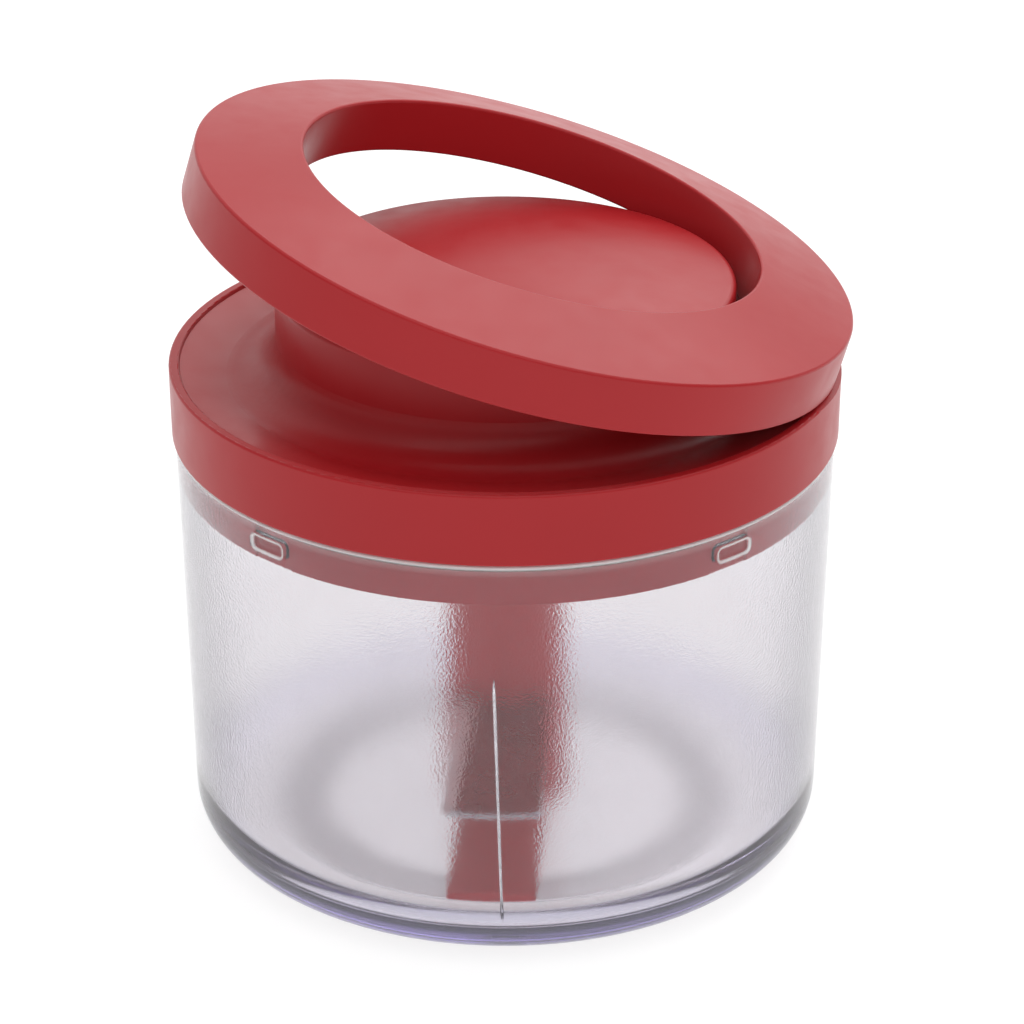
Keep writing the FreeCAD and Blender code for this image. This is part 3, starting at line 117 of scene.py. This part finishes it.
def plastic(name, colour, rough=0.32, spread=0.05, grain=0.25, vary=0.05, seed=0.0, ior=1.5, grain_size=0.0004, coat=0.0, sheen=0.0, level=0.27):
    """Moulded plastic: faint flow marks in colour, uneven satin, a fine eroded grain."""
    m, nt, p, out = new_mat(name)
    tc = nt.nodes.new("ShaderNodeTexCoord").outputs["Object"]
    flow = noise(nt, tc, 28.0, 3.0, 0.5, (1, 1, 1.6), seed)
    nt.links.new(mix_colour(nt, remap(nt, flow, 0, 1), scaled(colour, 1 - vary), scaled(colour, 1 + vary)), p.inputs["Base Color"])
    smudge = noise(nt, tc, 160.0, 3.0, 0.5, None, seed + 3)
    nt.links.new(remap(nt, smudge, rough - spread, rough + spread), p.inputs["Roughness"])
    fine = noise(nt, tc, 1.0 / grain_size, 2.0, 0.6, None, seed + 7)
    wave = noise(nt, tc, 70.0, 2.0, 0.5, None, seed + 11)
    bump(nt, p, [(wave, 0.10, 0.0004), (fine, grain, 0.00003)])
    p.inputs["IOR"].default_value = ior
    p.inputs["Specular IOR Level"].default_value = level
    p.inputs["Coat Weight"].default_value = coat
    p.inputs["Coat Roughness"].default_value = 0.25
    if sheen:
        p.inputs["Sheen Weight"].default_value = sheen
        p.inputs["Sheen Roughness"].default_value = 0.5
    return m


def steel(name, colour, rough=0.3, along="Y", line=0.22, seed=0.0):
    """Ground or drawn steel with fine lines along one axis."""
    m, nt, p, out = new_mat(name)
    tc = nt.nodes.new("ShaderNodeTexCoord").outputs["Object"]
    stretch = {"X": (0.02, 1, 1), "Y": (1, 0.02, 1), "Z": (1, 1, 0.02)}[along]
    lines = noise(nt, tc, 2600.0, 3.0, 0.7, stretch, seed)
    cloud = noise(nt, tc, 90.0, 3.0, 0.5, None, seed + 5)
    nt.links.new(mix_colour(nt, remap(nt, lines, 0, 1), scaled(colour, 0.86), scaled(colour, 1.1)), p.inputs["Base Color"])
    nt.links.new(remap(nt, cloud, rough - 0.06, rough + 0.08), p.inputs["Roughness"])
    p.inputs["Metallic"].default_value = 1.0
    bump(nt, p, [(lines, line, 0.00002)])
    return m


def blade_edge_painted_highlight(m):
    """Painted highlight on the blade's edge facet, found by the way it faces: made near-white and less metallic to
    stand in for the bright reflection it catches; its rougher finish is the grind's own.
    """
    nt = m.node_tree
    p = next(x for x in nt.nodes if x.type == "BSDF_PRINCIPLED")
    n = nt.nodes.new("ShaderNodeTexCoord").outputs["Normal"]
    sep = nt.nodes.new("ShaderNodeSeparateXYZ")
    nt.links.new(n, sep.inputs[0])
    side = nt.nodes.new("ShaderNodeMath")
    side.operation = "ABSOLUTE"
    nt.links.new(sep.outputs[0], side.inputs[0])
    up = remap(nt, sep.outputs[2], 0.0, 1.0, 0.5, 0.7)
    facet_highlight_mask = nt.nodes.new("ShaderNodeMath")
    facet_highlight_mask.operation = "MULTIPLY"
    nt.links.new(remap(nt, side.outputs[0], 0.0, 1.0, 0.10, 0.15), facet_highlight_mask.inputs[0])
    nt.links.new(up, facet_highlight_mask.inputs[1])
    fac = facet_highlight_mask.outputs[0]
    col = nt.nodes.new("ShaderNodeMix")
    col.data_type = "RGBA"
    nt.links.new(fac, col.inputs[0])
    nt.links.new(p.inputs["Base Color"].links[0].from_socket, col.inputs[6])
    # painted highlight: this near-white colour stands in for the light the edge facet reflects
    col.inputs[7].default_value = (0.93, 0.93, 0.94, 1.0)
    nt.links.new(col.outputs[2], p.inputs["Base Color"])
    add = nt.nodes.new("ShaderNodeMath")
    add.operation = "MULTIPLY_ADD"
    nt.links.new(fac, add.inputs[0])
    add.inputs[1].default_value = 0.28
    nt.links.new(p.inputs["Roughness"].links[0].from_socket, add.inputs[2])
    nt.links.new(add.outputs[0], p.inputs["Roughness"])
    # less metallic on the facet, part of the same painted highlight
    nt.links.new(remap(nt, fac, 1.0, 0.3, 0.0, 1.0), p.inputs["Metallic"])
    return m


def rubber(name, colour, seed=0.0):
    m, nt, p, out = new_mat(name)
    tc = nt.nodes.new("ShaderNodeTexCoord").outputs["Object"]
    n = noise(nt, tc, 900.0, 4.0, 0.6, None, seed)
    nt.links.new(mix_colour(nt, remap(nt, n, 0, 1), scaled(colour, 0.88), scaled(colour, 1.12)), p.inputs["Base Color"])
    nt.links.new(remap(nt, n, 0.62, 0.8), p.inputs["Roughness"])
    bump(nt, p, [(n, 0.35, 0.00005)])
    return m


def clear(name):
    """Clear styrene copolymer, faintly violet where it is thick. Its inner face is finely
    frosted, which the mesh's frost values mark; its outer face and rim are polished."""
    m, nt, p, out = new_mat(name)
    tc = nt.nodes.new("ShaderNodeTexCoord").outputs["Object"]
    n = noise(nt, tc, 120.0, 3.0, 0.55)
    body = mix_colour(nt, remap(nt, n, 0, 1), (0.905, 0.895, 0.90, 1), (0.93, 0.92, 0.925, 1))
    # the thick foot shows the resin's own tint
    foot = nt.nodes.new("ShaderNodeAttribute")
    foot.attribute_name = "foot"
    tint = nt.nodes.new("ShaderNodeMix")
    tint.data_type = "RGBA"
    nt.links.new(foot.outputs["Fac"], tint.inputs[0])
    nt.links.new(body, tint.inputs[6])
    tint.inputs[7].default_value = (0.80, 0.79, 0.93, 1.0)
    nt.links.new(tint.outputs[2], p.inputs["Base Color"])
    at = nt.nodes.new("ShaderNodeAttribute")
    at.attribute_name = "frost"
    uneven = remap(nt, n, 0.10, 0.13)
    mul = nt.nodes.new("ShaderNodeMath")
    mul.operation = "MULTIPLY_ADD"
    nt.links.new(uneven, mul.inputs[0])
    nt.links.new(at.outputs["Fac"], mul.inputs[1])
    mul.inputs[2].default_value = 0.02
    nt.links.new(mul.outputs[0], p.inputs["Roughness"])
    # milky share: a little on the frosted face; on the rim's outer fillet and the key outlines a painted highlight,
    # where most of the transmission is swapped for diffuse white to stand in for the light they catch
    ed = nt.nodes.new("ShaderNodeAttribute")
    ed.attribute_name = "painted_edge_highlight"
    milk = nt.nodes.new("ShaderNodeMath")
    milk.operation = "MULTIPLY_ADD"
    nt.links.new(at.outputs["Fac"], milk.inputs[0])
    milk.inputs[1].default_value = -0.05
    milk.inputs[2].default_value = 1.0
    transmission_with_painted_highlight = nt.nodes.new("ShaderNodeMath")
    transmission_with_painted_highlight.operation = "MULTIPLY_ADD"
    nt.links.new(ed.outputs["Fac"], transmission_with_painted_highlight.inputs[0])
    transmission_with_painted_highlight.inputs[1].default_value = -0.8
    nt.links.new(milk.outputs[0], transmission_with_painted_highlight.inputs[2])
    nt.links.new(transmission_with_painted_highlight.outputs[0], p.inputs["Transmission Weight"])
    p.inputs["IOR"].default_value = 1.5
    wave = noise(nt, tc, 45.0, 2.0, 0.5, (1, 1, 0.4), 2.0)
    grain = noise(nt, tc, 1900.0, 2.0, 0.6, None, 9.0)
    damp = nt.nodes.new("ShaderNodeMath")
    damp.operation = "MULTIPLY"
    calm = nt.nodes.new("ShaderNodeAttribute")
    calm.attribute_name = "blasted"
    nt.links.new(grain, damp.inputs[0])
    nt.links.new(calm.outputs["Fac"], damp.inputs[1])
    bump(nt, p, [(wave, 0.05, 0.0003), (damp.outputs[0], 0.7, 0.00009)])
    v = nt.nodes.new("ShaderNodeVolumeAbsorption")
    v.inputs["Color"].default_value = (0.68, 0.62, 0.84, 1.0)
    v.inputs["Density"].default_value = 31.0
    nt.links.new(v.outputs["Volume"], out.inputs["Volume"])
    return m


def soft(name, colour):
    """Soft translucent grip: milky, with a fine satin skin."""
    m, nt, p, out = new_mat(name)
    tc = nt.nodes.new("ShaderNodeTexCoord").outputs["Object"]
    n = noise(nt, tc, 700.0, 4.0, 0.6, None, 2.0)
    nt.links.new(mix_colour(nt, remap(nt, n, 0, 1), scaled(colour, 0.94), scaled(colour, 1.04)), p.inputs["Base Color"])
    nt.links.new(remap(nt, n, 0.45, 0.6), p.inputs["Roughness"])
    p.inputs["Transmission Weight"].default_value = 0.93
    p.inputs["IOR"].default_value = 1.42
    bump(nt, p, [(n, 0.3, 0.00005)])
    return m


RED = (0.40, 0.014, 0.018, 1.0)
M = {
    "ring_red": plastic("ring_red", RED, 0.325, 0.035, 0.03, 0.025, 1.0),
    "lid_red": plastic("lid_red", scaled(RED, 1.0), 0.325, 0.035, 0.03, 0.025, 2.0),
    "dome_red": plastic("dome_red", RED, 0.34, 0.04, 0.03, 0.025, 3.0),
    # painted light: the cover, stem and sweep are the same red plastic as the lid, but their base is made far brighter
    # (0.63 to 0.70 against 0.40) to make up for the light they lack inside the jar
    "cover_red": plastic("cover_red", (0.63, 0.014, 0.030, 1.0), 0.36, 0.05, 0.1, 0.03, 4.0),
    "plate_red": plastic("plate_red", scaled(RED, 0.92), 0.38, 0.05, 0.1, 0.03, 5.0),
    "stem_red": plastic("stem_red", (0.66, 0.014, 0.028, 1.0), 0.36, 0.05, 0.1, 0.03, 6.0),
    "sweep_red": plastic("sweep_red", (0.70, 0.014, 0.028, 1.0), 0.36, 0.05, 0.1, 0.03, 7.0),
    "frame_plastic": plastic("frame_grey", lin(62, 62, 66), 0.5, 0.06, 0.5, 0.08, 8.0),
    "arm_plastic": plastic("arm_grey", lin(120, 121, 126), 0.45, 0.06, 0.5, 0.08, 9.0),
    "gear_plastic": plastic("gear_acetal", lin(228, 225, 214), 0.42, 0.06, 0.3, 0.04, 10.0),
    "bush_plastic": plastic("bush_acetal", lin(222, 218, 204), 0.4, 0.06, 0.3, 0.04, 11.0),
    "pin_steel": steel("pin_steel", lin(196, 196, 199), 0.28, "Z", seed=1.0),
    "axle_steel": steel("axle_steel", lin(200, 200, 203), 0.22, "Y", seed=2.0),
    "screw_steel": steel("screw_zinc", lin(190, 190, 194), 0.34, "Z", seed=3.0),
    "spring_steel": steel("spring_wire", lin(160, 160, 164), 0.35, "Y", seed=4.0),
    "clip_steel": steel("clip_steel", lin(110, 110, 114), 0.4, "X", seed=5.0),
    "blade_steel": blade_edge_painted_highlight(steel("blade_steel", lin(178, 178, 184), 0.24, "Y", 0.3, seed=6.0)),
    "seal_rubber": rubber("seal_silicone", lin(214, 208, 198), 1.0),
    "grip": soft("grip_soft", (0.95, 0.93, 0.96, 1.0)),
}
JAR = clear("jar_clear")

slots = {s["node"]: s["material_slot"] for s in frame["record"]["subparts"]}
for name, ob in NODES.items():
    ob.data.materials.clear()
    if slots[name] in M:
        ob.data.materials.append(M[slots[name]])
    for poly in ob.data.polygons:
        poly.use_smooth = True
    ob.data.set_sharp_from_angle(angle=math.radians(28))
NODES["jar"].data.materials.append(JAR)


# ------------------------------------------------------------------ lathed pieces
def arc_profile(points, step=10.0):
    """Points (r, z, fillet) in mm joined by lines, their corners rounded by arcs."""
    out = []
    n = len(points)
    for i, (r, z, f) in enumerate(points):
        p = Vector((r, z))
        if not f:
            out.append((r, z))
            continue
        a = (Vector(points[i - 1][:2]) - p).normalized()
        b = (Vector(points[(i + 1) % n][:2]) - p).normalized()
        half = math.acos(max(-1.0, min(1.0, a.dot(b)))) / 2.0
        back = f / math.tan(half)
        c = p + (a + b).normalized() * (f / math.sin(half))
        s, e = p + a * back, p + b * back
        t0 = math.atan2(s.y - c.y, s.x - c.x)
        t1 = math.atan2(e.y - c.y, e.x - c.x)
        d = (t1 - t0 + math.pi) % (2 * math.pi) - math.pi
        k = max(3, int(abs(math.degrees(d)) / step))
        out += [(c.x + f * math.cos(t0 + d * j / k), c.y + f * math.sin(t0 + d * j / k)) for j in range(k + 1)]
    return out


def divided(profile, most, zones=()):
    """The profile with long runs cut into steps; zones are (z0, z1, step) that need finer ones."""
    out = []
    for (r0, z0), (r1, z1) in zip(profile, profile[1:]):
        out.append((r0, z0))
        length = math.hypot(r1 - r0, z1 - z0)
        cuts = set()
        k = int(length / most)
        for j in range(1, k + 1):
            cuts.add(round(j / (k + 1), 5))
        if abs(z1 - z0) > 5:
            for a, b, step in zones:
                m = int(round((b - a) / step))
                for j in range(m + 1):
                    t = (a + (b - a) * j / m - z0) / (z1 - z0)
                    if 0.001 < t < 0.999:
                        cuts.add(round(t, 5))
        last = 0.0
        for t in sorted(cuts):
            if t - last > 1e-4 and 1 - t > 1e-4:
                out.append((r0 + (r1 - r0) * t, z0 + (z1 - z0) * t))
                last = t
    out.append(profile[-1])
    return out


def turns(count, fine=()):
    """Angles of the columns: evenly spaced, and closer in fine = (middle, half width, step), degrees."""
    a = {round(360.0 * k / count, 4) for k in range(count)}
    for mid, half, step in fine:
        a = {t for t in a if abs((t - mid + 180) % 360 - 180) > half + 0.5 * step}
        m = int(round(2 * half / step))
        a |= {round((mid - half + 2 * half * j / m) % 360, 4) for j in range(m + 1)}
    return sorted(a)


def lathe(name, profile, angles, place, closed):
    """A solid of revolution; place(row, r, z, angle) gives each vertex. An open profile
    starts and ends on the axis."""
    verts, faces = [], []
    rows = []
    n = len(angles)
    for i, (r, z) in enumerate(profile):
        if r < 1e-6:
            rows.append([len(verts)] * n)
            verts.append((0.0, 0.0, z * MM))
        else:
            rows.append(list(range(len(verts), len(verts) + n)))
            for t in angles:
                x, y, h = place(i, r, z, t)
                verts.append((x * MM, y * MM, h * MM))
    m = len(rows)
    for i in range(m if closed else m - 1):
        a, b = rows[i], rows[(i + 1) % m]
        for j in range(n):
            k = (j + 1) % n
            q = [a[j], a[k], b[k], b[j]]
            f = []
            for v in q:
                if v not in f:
                    f.append(v)
            if len(f) > 2:
                faces.append(f)
    me = bpy.data.meshes.new(name)
    me.from_pydata(verts, [], faces)
    me.update()
    bm = bmesh.new()
    bm.from_mesh(me)
    bmesh.ops.recalc_face_normals(bm, faces=bm.faces)
    bm.to_mesh(me)
    bm.free()
    for poly in me.polygons:
        poly.use_smooth = True
    ob = bpy.data.objects.new(name, me)
    bpy.context.scene.collection.objects.link(ob)
    return ob


def smooth(t):
    t = max(0.0, min(1.0, t))
    return t * t * (3 - 2 * t)


KEYS = (46.3, 131.4, 226.3, 311.4)
RIBS = (30.0 - 1.3, 150.0 - 1.3, 270.0 - 1.3)
TOP, FLOOR = 87.0, 5.8


def slab(u, v, wide, tall, r):
    """Signed distance in mm to a rounded rectangle."""
    qx, qy = abs(u) - wide / 2 + r, abs(v) - tall / 2 + r
    return math.hypot(max(qx, 0.0), max(qy, 0.0)) + min(max(qx, qy), 0.0) - r


jar_profile = arc_profile(
    [
        (0, 0.4, 0), (36.95, 0.4, 0.25), (36.95, 2.25, 0.25), (46.45, 2.25, 0.25), (46.45, 0.4, 0.25),
        (63.3, 0.4, 10.0), (65.2, 87.0, 0.7), (62.8, 87.0, 0.5), (61.0, 5.8, 9.0),
        (6.0, 5.8, 1.2), (5.4, 9.4, 0.6), (2.53, 9.4, 0.25), (2.53, 3.45, 0), (0, 3.45, 0),
    ],
    6.0,
)
jar_profile = divided(jar_profile, 4.0, ((80.2, 84.6, 0.2), (57.6, 64.0, 0.45)))
top_row = max(range(len(jar_profile)), key=lambda i: (jar_profile[i][1], -jar_profile[i][0]))
frost_from = next(i for i in range(top_row, len(jar_profile)) if jar_profile[i][1] < 86.45)
frost_to = next(i for i in range(frost_from, len(jar_profile)) if jar_profile[i][0] < 6.8)


def jar_place(i, r, z, t):
    inner = i >= frost_from
    turn = 0.0
    if 6.5 < z < 86.0 and r > 50:
        for k in KEYS:
            d = (t - k + 180) % 360 - 180
            if abs(d) < 7 and 79.9 < z < 84.9:
                u, v = math.radians(d) * r, z - 82.4
                if inner:
                    r -= 0.5 * smooth(0.5 - slab(u, v, 8.5, 3.4, 1.2) / 1.0)
                else:
                    r -= 0.30 * smooth(0.5 - slab(u, v, 8.3, 3.0, 1.1) / 0.9)
        if inner:
            for k in RIBS:
                d = (t - k + 180) % 360 - 180
                if abs(d) < 8:
                    f = max(0.0, min(1.0, (z - 7.0) / 56.3))
                    mid = 0.73 - 1.49 * f
                    slide = mid * smooth((8 - abs(d)) / 5.0)
                    tall = 0.34 * smooth((63.4 - z) / 5.0) * smooth((z - 7.0) / 6.0)
                    wide = 0.14 + 0.14 * smooth((63.4 - z) / 5.0)
                    u = abs(math.radians(d) * r)
                    r -= tall * max(0.0, 1.0 - u / wide)
                    turn = slide
    a = math.radians(t + turn)
    return r * math.cos(a), r * math.sin(a), z


jar_turns = turns(288, [(k, 5.6, 0.23) for k in KEYS] + [(k, 0.40, 0.05) for k in RIBS])
shell = lathe("jar_shell", jar_profile, jar_turns, jar_place, False)
frost = shell.data.attributes.new("frost", "FLOAT", "POINT")
at_row = []
for i, (r, z) in enumerate(jar_profile):
    at_row += [1.0 if frost_from <= i <= frost_to else 0.0] * (1 if r < 1e-6 else len(jar_turns))
frost.data.foreach_set("value", at_row)
# painted highlight: the rim's outer fillet and the key outlines are marked for a diffuse white share that stands in for
# the light they catch; the outer wall also grows a little milkier towards the bottom
painted_edge_highlight = shell.data.attributes.new("painted_edge_highlight", "FLOAT", "POINT")
at_painted_edge_highlight = []
for i, (r, z) in enumerate(jar_profile):
    if r < 1e-6:
        at_painted_edge_highlight.append(0.0)
        continue
    for t in jar_turns:
        v = 0.0
        if r > 64.3 and 86.2 < z < 86.99:
            v = smooth((z - 86.2) / 0.3)
        elif i < top_row and r > 48.0 and z < 14.0:
            v = 0.15 * smooth((14.0 - z) / 7.0)
        elif 79.9 < z < 84.9 and r > 64.0 and i < frost_from:
            for k in KEYS:
                d = (t - k + 180) % 360 - 180
                if abs(d) < 7:
                    g = slab(math.radians(d) * r, z - 82.4, 8.3, 3.0, 1.1)
                    v = max(v, 0.75 * smooth(1.0 - abs(g) / 0.55))
        at_painted_edge_highlight.append(v)
painted_edge_highlight.data.foreach_set("value", at_painted_edge_highlight)
foot = shell.data.attributes.new("foot", "FLOAT", "POINT")
at_foot = []
for i, (r, z) in enumerate(jar_profile):
    v = smooth((13.0 - z) / 6.0) * smooth((r - 54.0) / 6.0) if i < top_row else 0.0
    at_foot += [v] * (1 if r < 1e-6 else len(jar_turns))
foot.data.foreach_set("value", at_foot)
# the sandblasted wall; the moulded floor and corner are only satin
blasted = shell.data.attributes.new("blasted", "FLOAT", "POINT")
at_blasted = []
for i, (r, z) in enumerate(jar_profile):
    v = smooth((z - 12.0) / 8.0) if frost_from <= i <= frost_to and r > 48.0 else 0.0
    at_blasted += [v] * (1 if r < 1e-6 else len(jar_turns))
blasted.data.foreach_set("value", at_blasted)
shell.data.materials.append(JAR)
shell.data.set_sharp_from_angle(angle=math.radians(50))
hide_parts("jar")
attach(shell, "base")

# ------------------------------------------------------------------ studio
def stage_plane(name, size, loc, mat):
    me = bpy.data.meshes.new(name)
    bm = bmesh.new()
    bmesh.ops.create_grid(bm, x_segments=4, y_segments=4, size=size)
    bm.to_mesh(me)
    bm.free()
    o = bpy.data.objects.new(name, me)
    bpy.context.scene.collection.objects.link(o)
    o.location = loc
    me.materials.append(mat)
    return o


floor_mat, nt, p, out = new_mat("floor_paper")
tc = nt.nodes.new("ShaderNodeTexCoord").outputs["Object"]
n = noise(nt, tc, 14.0, 4.0, 0.6)
nt.links.new(mix_colour(nt, remap(nt, n, 0, 1), (0.295, 0.295, 0.295, 1), (0.305, 0.305, 0.305, 1)), p.inputs["Base Color"])
p.inputs["Roughness"].default_value = 0.9
p.inputs["Specular IOR Level"].default_value = 0.1
# a lit white table, as in a packshot
p.inputs["Emission Color"].default_value = (1.0, 1.0, 1.0, 1.0)
p.inputs["Emission Strength"].default_value = 0.80
floor = stage_plane("floor", 6.0, (0, 0, -0.0002), floor_mat)

# a white room that is brightest behind the object and overhead
world = bpy.data.worlds.new("studio")
bpy.context.scene.world = world
world.use_nodes = True
wt = world.node_tree
bg = wt.nodes["Background"]
way = wt.nodes.new("ShaderNodeTexCoord").outputs["Generated"]
axis = wt.nodes.new("ShaderNodeSeparateXYZ")
wt.links.new(way, axis.inputs[0])


def world_term(socket, gain, flip=1.0):
    up = wt.nodes.new("ShaderNodeMath")
    up.operation = "MULTIPLY"
    up.inputs[1].default_value = flip
    wt.links.new(socket, up.inputs[0])
    pos = wt.nodes.new("ShaderNodeMath")
    pos.operation = "MAXIMUM"
    pos.inputs[1].default_value = 0.0
    wt.links.new(up.outputs[0], pos.inputs[0])
    g = wt.nodes.new("ShaderNodeMath")
    g.operation = "MULTIPLY"
    g.inputs[1].default_value = gain
    wt.links.new(pos.outputs[0], g.inputs[0])
    return g.outputs[0]


def world_sum(a, b):
    g = wt.nodes.new("ShaderNodeMath")
    g.operation = "ADD"
    wt.links.new(a, g.inputs[0])
    if isinstance(b, float):
        g.inputs[1].default_value = b
    else:
        wt.links.new(b, g.inputs[1])
    return g.outputs[0]


level = world_sum(world_term(axis.outputs[2], 0.42), world_term(axis.outputs[1], 0.85))
level = world_sum(level, world_term(axis.outputs[0], 0.08, -1.0))
level = world_sum(level, world_term(axis.outputs[0], 0.05))
level = world_sum(level, 0.12)
wt.links.new(level, bg.inputs["Strength"])
bg.inputs["Color"].default_value = (1.0, 1.0, 1.0, 1.0)


def sun(name, direction, strength, angle):
    l = bpy.data.lights.new(name, "SUN")
    l.energy = strength
    l.angle = math.radians(angle)
    o = bpy.data.objects.new(name, l)
    bpy.context.scene.collection.objects.link(o)
    o.rotation_euler = Vector(direction).to_track_quat("-Z", "Y").to_euler()
    return o


def area(name, loc, target, size, energy, size_y=None):
    l = bpy.data.lights.new(name, "AREA")
    l.shape = "RECTANGLE"
    l.size = size
    l.size_y = size_y or size
    l.energy = energy
    o = bpy.data.objects.new(name, l)
    bpy.context.scene.collection.objects.link(o)
    o.location = loc
    o.rotation_euler = (Vector(target) - Vector(loc)).to_track_quat("-Z", "Y").to_euler()
    return o


sun("soft_top", (-0.12, 0.42, -1.0), 1.30, 90.0)
# a wide softbox behind, to the right and above: the sheen on the tilted ring
area("softbox", (0.62, 1.15, 1.32), (0.0, 0.0, 0.12), 1.35, 9.0, 0.95)

# ------------------------------------------------------------------ camera
cam = bpy.data.cameras.new("camera")
cam.sensor_fit = "HORIZONTAL"
cam.sensor_width = 36.0
cam.lens = 3988.6 / 1024.0 * 36.0
cam.clip_start = 0.01
cam.clip_end = 50.0
co = bpy.data.objects.new("camera", cam)
bpy.context.scene.collection.objects.link(co)
co.location = (-0.00012, -0.7203, 0.4115)
co.rotation_euler = (math.pi / 2 - 0.446, 0.0, -0.002)
bpy.context.scene.camera = co
bpy.context.scene.view_settings.view_transform = "Standard"
bpy.context.scene.view_settings.look = "None"

bpy.context.view_layer.update()
